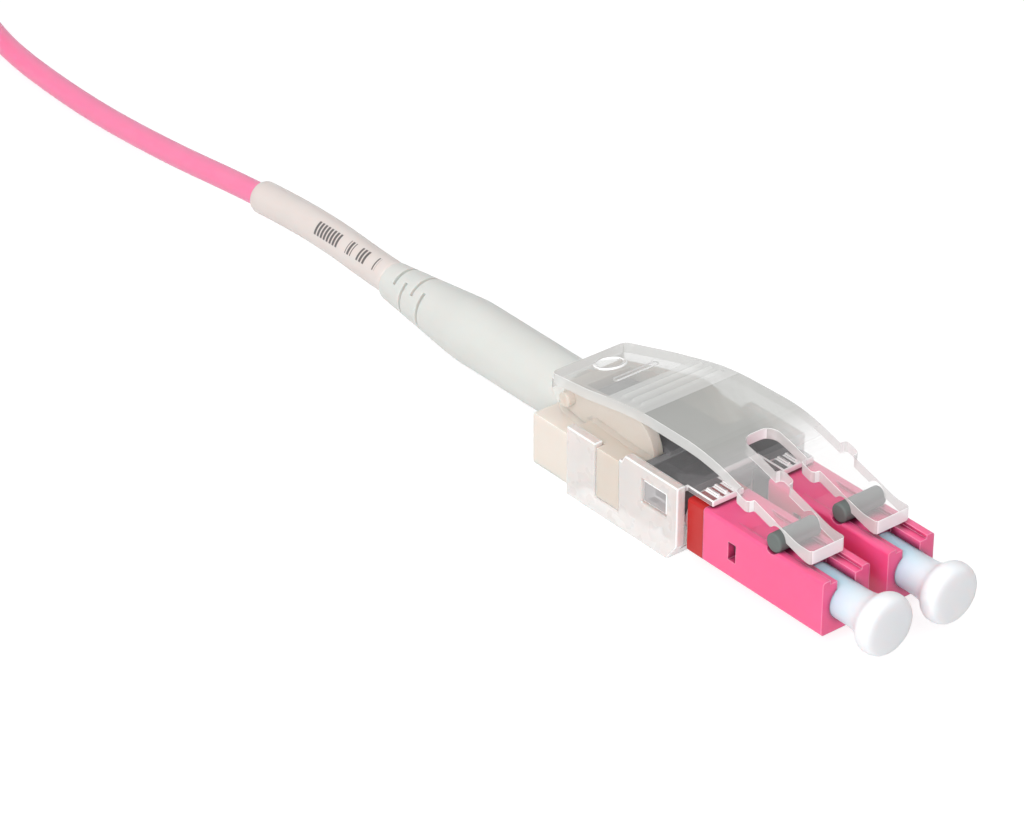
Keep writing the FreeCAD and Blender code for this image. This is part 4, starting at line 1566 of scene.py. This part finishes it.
    def strength(self, face: Face) -> float:
        """Strength of the veil: strong on the plate, light on the arms, faint on the skirts, and
        strong enough on the ribs, roundings, ends and sides to paint a white highlight.

        Args:
            face: the face.

        Returns:
            The strength, from 0 to 1.
        """
        # Cosines to an axis of faces that look along it, lean to it and look away from it.
        square, leaning, away = 0.9, 0.3, 0.1
        # How far each place reaches beyond what it is named for.
        past_skirt, below, past_ribs, into_top, past_bar = 0.2, 0.03, 1.0, 0.02, 0.1
        x, _, z = face.calc_center_median() / MM
        ahead, across, up = (abs(value) for value in face.normal)
        front = max(corner[0] for corner in self.skirt) + past_skirt
        if x < front and z < self.under.at(x) - below:
            return self.haze.skirt
        by_ribs = self.ribs[0] - past_ribs < x < self.ribs[-1] + past_ribs
        if by_ribs and z > self.top.at(x) - into_top:
            return self.haze.rib
        over_bar = abs(x - self.bar[0]) < self.bar[2] + past_bar and across < away
        if up > square or over_bar:
            return self.haze.plate(x)
        if up > leaning:
            return self.haze.rim
        return self.haze.end if ahead > square else self.haze.side


# -------------------------------------------------------------------- cord


def in_metres(points: Iterable[Triple]) -> list[Vector]:
    """Points given in millimetres, in metres."""
    return [Vector(point) * MM for point in points]


CORD_RADIUS = 1.0 * MM
CORD_ROUTE = in_metres(
    [
        (-36.0, 0.0, 0.0),
        (-56.2, 0.0, 0.0),
        (-66.2, 0.75, 0.1),
        (-76.4, 0.5, -0.3),
        (-88.5, 0.15, -1.4),
        (-101.5, 0.2, -2.1),
        (-116.3, 0.85, -1.75),
        (-128.4, 5.1, -1.7),
        (-141.0, 5.1, -1.7),
    ]
)
TAIL_ROUTE = in_metres(
    [
        (-163.0, 5.1, 8.1),
        (-177.1, 5.1, 8.1),
        (-185.2, -1.0, 0.0),
        (-210.5, -1.0, 0.0),
    ]
)


@dataclass(frozen=True)
class Hank:
    """The put-away turns, wound in layers and levels inside the CAD's hank.

    Attributes:
        run: length of the straight sides.
        layers: radii of the turns' ends, from the inner layer out.
        levels: number of turns on top of each other in a layer.
        pitch: from one level to the next.
        steps: number of points round each end, and one more.
    """

    run: float = 39.4 * MM
    layers: Triple = (6 * MM, 8 * MM, 10 * MM)
    levels: int = 6
    pitch: float = 2 * MM
    steps: int = 7

    def points(self) -> list[Vector]:
        """Control points of all turns, from the bottom outer turn to the top outer one.

        The last turn ends on its first side, where the cord leaves the hank.

        Returns:
            The points.
        """
        low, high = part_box("cord_hank")
        middle = (low + high) / 2
        order: list[tuple[int, float]] = []
        for level in range(self.levels):
            radii = self.layers if level % 2 else tuple(reversed(self.layers))
            order += [(level, radius) for radius in radii]
        spots = []
        for index, (level, radius) in enumerate(order):
            last = index == len(order) - 1
            after = order[index if last else index + 1]
            turn = self.turn(radius, after[1])
            for x, y, share in turn[:2] if last else turn:
                height = low.z + (level + 0.5) * self.pitch
                height += (after[0] - level) * self.pitch * share
                spots.append(Vector((middle.x + x, middle.y + y, height)))
        return spots

    def turn(self, radius: float, following: float) -> list[Triple]:
        """One turn's points, easing into the next turn's radius along its last side.

        Args:
            radius: the turn's radius.
            following: the next turn's radius.

        Returns:
            x, y and the share of the rise to the next turn, of each point.
        """
        half = self.run / 2
        spots = [(half, radius, 0.0), (0.0, radius, 0.0), (-half, radius, 0.0)]
        for step in range(1, self.steps):
            angle = math.pi / 2 + math.pi * step / self.steps
            spots.append((-half + radius * math.cos(angle), radius * math.sin(angle), 0.0))
        middle = -(radius + following) / 2
        spots += [(-half, -radius, 0.0), (0.0, middle, 0.5), (half, -following, 1.0)]
        for step in range(1, self.steps):
            angle = -math.pi / 2 + math.pi * step / self.steps
            spots.append((half + following * math.cos(angle), following * math.sin(angle), 1.0))
        return spots


@dataclass(frozen=True)
class Cord:
    """The pink two-fibre cord: one spline from the boot through the hank to the far boot.

    Attributes:
        hank: the turns that are put away.
    """

    hank: Hank = field(default_factory=Hank)

    def build(self) -> bpy.types.Object:
        """Draws the spline through all the cord's points.

        Returns:
            The new object.
        """
        points = CORD_ROUTE + self.hank.points()[1:] + TAIL_ROUTE
        curve = bpy.data.curves.new("cord_line", "CURVE")
        curve.dimensions = "3D"
        curve.bevel_depth = CORD_RADIUS
        curve.bevel_resolution = 5
        curve.resolution_u = 8
        curve.use_fill_caps = True
        spline = curve.splines.new("NURBS")
        spline.points.add(len(points) - 1)
        for spot, point in zip(spline.points, points):
            spot.co = (*point, 1.0)
        spline.order_u = 3
        spline.use_endpoint_u = True
        piece = bpy.data.objects.new("cord_line", curve)
        bpy.context.collection.objects.link(piece)
        PALETTE.dress(piece, "cord")
        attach(piece, ROOT)
        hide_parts("cord", "cord_hank", "cord_tail")
        return piece

    def declare(self) -> None:
        """Reads the cord's first point and does nothing with it.
        """
        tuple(CORD_ROUTE[0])


@dataclass(frozen=True)
class Path:
    """Points along a line.

    Attributes:
        points: the points, in metres.
    """

    points: list[Vector]

    @classmethod
    def of(cls, piece: bpy.types.Object) -> "Path":
        """Reads the points that a curve's spline runs through.

        Args:
            piece: the curve's object.

        Returns:
            The path.
        """
        bare = piece.data.copy()
        bare.bevel_depth = 0.0
        bare.use_fill_caps = False
        guide = bpy.data.objects.new("guide", bare)
        mesh = bpy.data.meshes.new_from_object(guide)
        points = [vert.co.copy() for vert in mesh.vertices]
        bpy.data.objects.remove(guide)
        bpy.data.meshes.remove(mesh)
        bpy.data.curves.remove(bare)
        return cls(points)

    def stretch(self, back: float, front: float) -> "Path":
        """The first stretch of the path that lies between two values of X.

        Args:
            back: the smaller value.
            front: the larger one, where the stretch starts.

        Returns:
            The stretch.
        """
        first = next(i for i, point in enumerate(self.points) if point.x < front)
        last = next(i for i, point in enumerate(self.points) if point.x < back)
        ends = [self.crossing(first, front), self.crossing(last, back)]
        return Path([ends[0], *self.points[first:last], ends[1]])

    def crossing(self, index: int, x: float) -> Vector:
        """Where the path passes a value of X, just before a point."""
        before, after = self.points[index - 1], self.points[index]
        return before.lerp(after, (x - before.x) / (after.x - before.x))

    def at(self, share: float) -> Matrix:
        """A frame on the path, with its Z along it.

        Args:
            share: the share of the path's length.

        Returns:
            The frame.
        """
        steps = [(b - a).length for a, b in zip(self.points, self.points[1:])]
        left = max(0.0, min(share, 1.0)) * sum(steps)
        index = 0
        while index < len(steps) - 1 and left > steps[index]:
            left -= steps[index]
            index += 1
        spot = self.points[index].lerp(self.points[index + 1], left / steps[index])
        along = self.points[min(index + 2, len(steps))] - self.points[max(index - 1, 0)]
        return Matrix.Translation(spot) @ along.to_track_quat("Z", "Y").to_matrix().to_4x4()


def swept(path: Path, profile: Sequence[Pair], sides: int = 48) -> Mesh:
    """A closed ring-shaped solid along a path.

    Args:
        path: the line that it follows.
        profile: share of the path and radius in metres of each ring, once round its wall.
        sides: number of sides of a ring.

    Returns:
        The mesh.
    """
    work = bmesh.new()
    share, radius = profile[0]
    place = path.at(share)
    bmesh.ops.create_circle(work, segments=sides, radius=radius, matrix=place)
    first = loop = work.edges[:]
    for after, wider in profile[1:]:
        grown = bmesh.ops.extrude_edge_only(work, edges=loop)["geom"]
        verts = [item for item in grown if isinstance(item, bmesh.types.BMVert)]
        loop = [item for item in grown if isinstance(item, bmesh.types.BMEdge)]
        target, growth = path.at(after), wider / radius
        move = target @ Matrix.Diagonal((growth, growth, 1.0, 1.0)) @ place.inverted()
        bmesh.ops.transform(work, matrix=move, verts=verts)
        place, radius = target, wider
    bmesh.ops.bridge_loops(work, edges=first + loop)
    bmesh.ops.recalc_face_normals(work, faces=work.faces)
    return work


@dataclass(frozen=True)
class Sleeve:
    """The printed sleeve that is shrunk onto the cord behind the boot.

    Attributes:
        radius: its outside, in metres.
        bore: radius of its inside, in metres.
        end: share of its length and of its radius of each ring at an end, from the lip in.
        lip: share of its length from where it is straight.
        outer_rings: number of steps along its outside.
        inner_rings: number of steps along its inside.
    """

    radius: float = 1.43 * MM
    bore: float = 1.002 * MM
    end: tuple[Pair, ...] = ((0.0, 0.86), (0.004, 0.94), (0.014, 0.985))
    lip: float = 0.035
    outer_rings: int = 24
    inner_rings: int = 12

    def build(self, line: bpy.types.Object) -> bpy.types.Object:
        """Sweeps the sleeve's wall along the cord.

        Args:
            line: the cord's object.

        Returns:
            The new object.
        """
        low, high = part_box("label_sleeve")
        path = Path.of(line).stretch(low.x, high.x)
        ends = [(0.0, self.bore)] + [(share, self.radius * part) for share, part in self.end]
        straight = (1 - 2 * self.lip) / self.outer_rings
        outside = [
            (self.lip + straight * step, self.radius) for step in range(self.outer_rings + 1)
        ]
        mirrored = [(1 - share, radius) for share, radius in reversed(ends)]
        inside = [(1 - step / self.inner_rings, self.bore) for step in range(1, self.inner_rings)]
        work = swept(path, ends + outside + mirrored + inside)
        return add_piece(work, "label_sleeve_shrunk", "label_sleeve")


@dataclass(frozen=True)
class Tie:
    """The woven strap that is wound twice round the hank, with its end on top.

    Lengths are in millimetres, and places are measured from the hank's middle.

    Attributes:
        layer: thickness of the strap.
        gap: space between its two layers.
        edge: width of the rounding on its edges.
        corner: radius at the hank's corners.
        inner_end: where the inner layer starts.
        step: where the outer layer starts and ends its step over that end.
        outer_end: where the outer layer ends.
    """

    layer: float = 0.245
    gap: float = 0.006
    edge: float = 0.06
    corner: float = 1.2
    inner_end: float = 1.5
    step: Pair = (3.0, 1.6)
    outer_end: float = 4.5

    def build(self) -> bpy.types.Object:
        """Draws the wound strip's section, then gives it its width along X.

        Returns:
            The new object.
        """
        low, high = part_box("hank_tie")
        work = slab(self.section(), (high.x - low.x) / MM)
        break_edges(work, outline_edges(work), self.edge * MM, segments=2)
        for vert in work.verts:
            vert.co = Vector((low.x + vert.co.z, vert.co.x, vert.co.y))
        bmesh.ops.recalc_face_normals(work, faces=work.faces)
        return add_piece(work, "hank_tie_strap", "hank_tie")

    def section(self) -> list[Vector]:
        """The strip's outline in the YZ plane, up one side of its middle line and back.

        Returns:
            The corners.
        """
        spots = self.line()
        pairs = zip(spots, spots[1:])
        turned = [Vector((b[1] - a[1], a[0] - b[0])).normalized() for a, b in pairs]
        between = [(a + b).normalized() for a, b in zip(turned, turned[1:])]
        half = (self.layer - self.gap) / 2
        offsets = [side * half for side in (turned[0], *between, turned[-1])]
        outer = [Vector(spot) + offset for spot, offset in zip(spots, offsets)]
        inner = [Vector(spot) - offset for spot, offset in zip(spots, offsets)]
        return outer + inner[::-1]

    def line(self) -> list[Pair]:
        """The strip's middle line, two turns from the inner end to the outer one.

        Returns:
            y and z of its points.
        """
        low, high = (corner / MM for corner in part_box("cord_hank"))
        middle = (low.y + high.y) / 2
        corners = [(middle + self.inner_end, high.z + self.layer / 2, 0.0)]
        for turn in (0.5, 1.5):
            out = self.layer * turn
            left, right, bottom, top = low.y - out, high.y + out, low.z - out, high.z + out
            round_hank = ((left, top), (left, bottom), (right, bottom), (right, top))
            corners += [(y, z, self.corner + out) for y, z in round_hank]
            if turn < 1:
                start, end = self.step
                corners += [(middle + start, top, 0.0), (middle + end, top + self.layer, 0.0)]
        corners.append((middle + self.outer_end, high.z + self.layer * 1.5, 0.0))
        return rounded(corners, closed=False)


# ------------------------------------------------------------------ studio


@dataclass(frozen=True)
class View:
    """The camera, which looks down on the connector from its front right.

    Attributes:
        target: the place that it looks at.
        azimuth: direction from the target to the camera, in degrees from X.
        elevation: its height over the horizon, in degrees.
        distance: from the target to the camera.
        lens: focal length, in millimetres on a sensor of 36.
    """

    target: Triple = (-34.4 * MM, -5.4 * MM, 0.0)
    azimuth: float = -38.87
    elevation: float = 31.14
    distance: float = 301.9 * MM
    lens: float = 140.6

    def direction(self) -> Vector:
        """The way from the target to the camera.

        Returns:
            A vector of length 1.
        """
        side, up = math.radians(self.azimuth), math.radians(self.elevation)
        level = math.cos(up)
        return Vector((level * math.cos(side), level * math.sin(side), math.sin(up)))

    def build(self) -> bpy.types.Object:
        """Places the camera.

        Returns:
            The camera's object.
        """
        data = bpy.data.cameras.new("camera")
        data.lens = self.lens
        data.sensor_width = 36.0
        data.clip_start = 0.01
        camera = bpy.data.objects.new("camera", data)
        camera.location = Vector(self.target) + self.direction() * self.distance
        camera.rotation_euler = self.direction().to_track_quat("Z", "Y").to_euler()
        bpy.context.collection.objects.link(camera)
        bpy.context.scene.camera = camera
        return camera


@dataclass(frozen=True)
class Lamp:
    """A soft square light that faces the connector.

    Attributes:
        name: the lamp's name.
        place: where it hangs.
        size: length of its side.
        power: its power, in watts.
        target: the place that it faces.
    """

    name: str
    place: Triple
    size: float
    power: float
    target: Triple = (-0.03, 0.0, 0.0)

    def build(self) -> None:
        """Hangs the lamp."""
        data = bpy.data.lights.new(self.name, "AREA")
        data.size = self.size
        data.energy = self.power
        source = bpy.data.objects.new(self.name, data)
        source.location = self.place
        away = Vector(self.place) - Vector(self.target)
        source.rotation_euler = away.to_track_quat("Z", "Y").to_euler()
        bpy.context.collection.objects.link(source)


@dataclass(frozen=True)
class Studio:
    """Pale floor, white surroundings and soft lights.

    Attributes:
        lamps: the lights.
        ambient: strength of the surroundings' light on the object.
        reach: half the floor's side.
        floor_light: colour of the floor as it lights the object.
        floor_seen: its colour as it is seen, before its own white is added.
        floor_white: how much of that white there is.
    """

    lamps: tuple[Lamp, ...] = (
        Lamp("over", (-0.05, 0.05, 0.5), 0.5, 0.75),
        Lamp("side", (0.2, -0.45, 0.28), 0.4, 2.5),
    )
    ambient: float = 0.42
    reach: float = 2.5
    floor_light: str = "#DCDCDC"
    floor_seen: str = "#A0A0A0"
    floor_white: float = 0.8

    def build(self) -> None:
        """Sets up the floor, the lamps and the surroundings."""
        self.floor()
        for lamp in self.lamps:
            lamp.build()
        self.surroundings()
        bpy.context.scene.view_settings.view_transform = "Standard"

    def floor(self) -> None:
        """Lays matt paper under the object, which keeps its shadow and is seen white."""
        mesh = bpy.data.meshes.new("floor")
        work = bmesh.new()
        bmesh.ops.create_grid(work, x_segments=2, y_segments=2, size=self.reach)
        bmesh.ops.translate(work, verts=work.verts, vec=(0, 0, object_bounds()[0][2]))
        work.to_mesh(mesh)
        work.free()
        floor = bpy.data.objects.new("floor", mesh)
        bpy.context.collection.objects.link(floor)
        tree = Surface("paper_matt")
        seen = tree.seen()
        white = tree.fold("MULTIPLY", [seen, self.floor_white])
        tree.set(Base_Color=self.floor_light, Roughness=0.9, Specular_IOR_Level=0.1)
        tree.tint(seen, self.floor_seen)
        tree.set(Emission_Color="#FFFFFF", Emission_Strength=white)
        mesh.materials.append(tree.material)
        floor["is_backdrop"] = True

    def surroundings(self) -> None:
        """Lights the object evenly from all round, and shows white behind it."""
        world = bpy.data.worlds.new("studio")
        world.use_nodes = True
        tree = Tree(world.node_tree)
        light = tree.nodes["Background"].inputs
        levels = {"Value": tree.seen(), "To Min": self.ambient, "To Max": 1.0}
        tree.give(light["Color"], "#FFFFFF")
        tree.give(light["Strength"], tree.add("ShaderNodeMapRange", levels))
        bpy.context.scene.world = world


def main() -> None:
    """Builds the pieces in order, then the studio."""
    logging.basicConfig(level=logging.INFO)
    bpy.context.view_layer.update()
    View().build()
    cord = Cord()
    line = cord.build()
    pieces = {"label_sleeve": Sleeve().build(line), "hank_tie": Tie().build()}
    for end in (End.near(), End.far()):
        pieces[end.prefix + "latch_cover"] = Cover(end).build()
        for side in Side:
            pieces[f"{end.prefix}dust_cap_{side.word}"] = Cap(end, side).build()
    for name, node in frame["nodes"].items():
        if not name.removeprefix("far_").startswith(NOT_MOULDED):
            pieces[name] = moulding_of(name).build()
        elif name not in pieces:
            PALETTE.dress(node, SLOT_OF[name])
            LOG.info("%s keeps its CAD mesh, or is part of the cord", name)
    for name, piece in pieces.items():
        LOG.info("%s is shown as %s, %d faces", name, piece.name, len(piece.data.polygons))
    cord.declare()
    LOG.info("%s is one spline of %d points", line.name, len(line.data.splines[0].points))
    Studio().build()


if __name__ == "__main__":
    main()
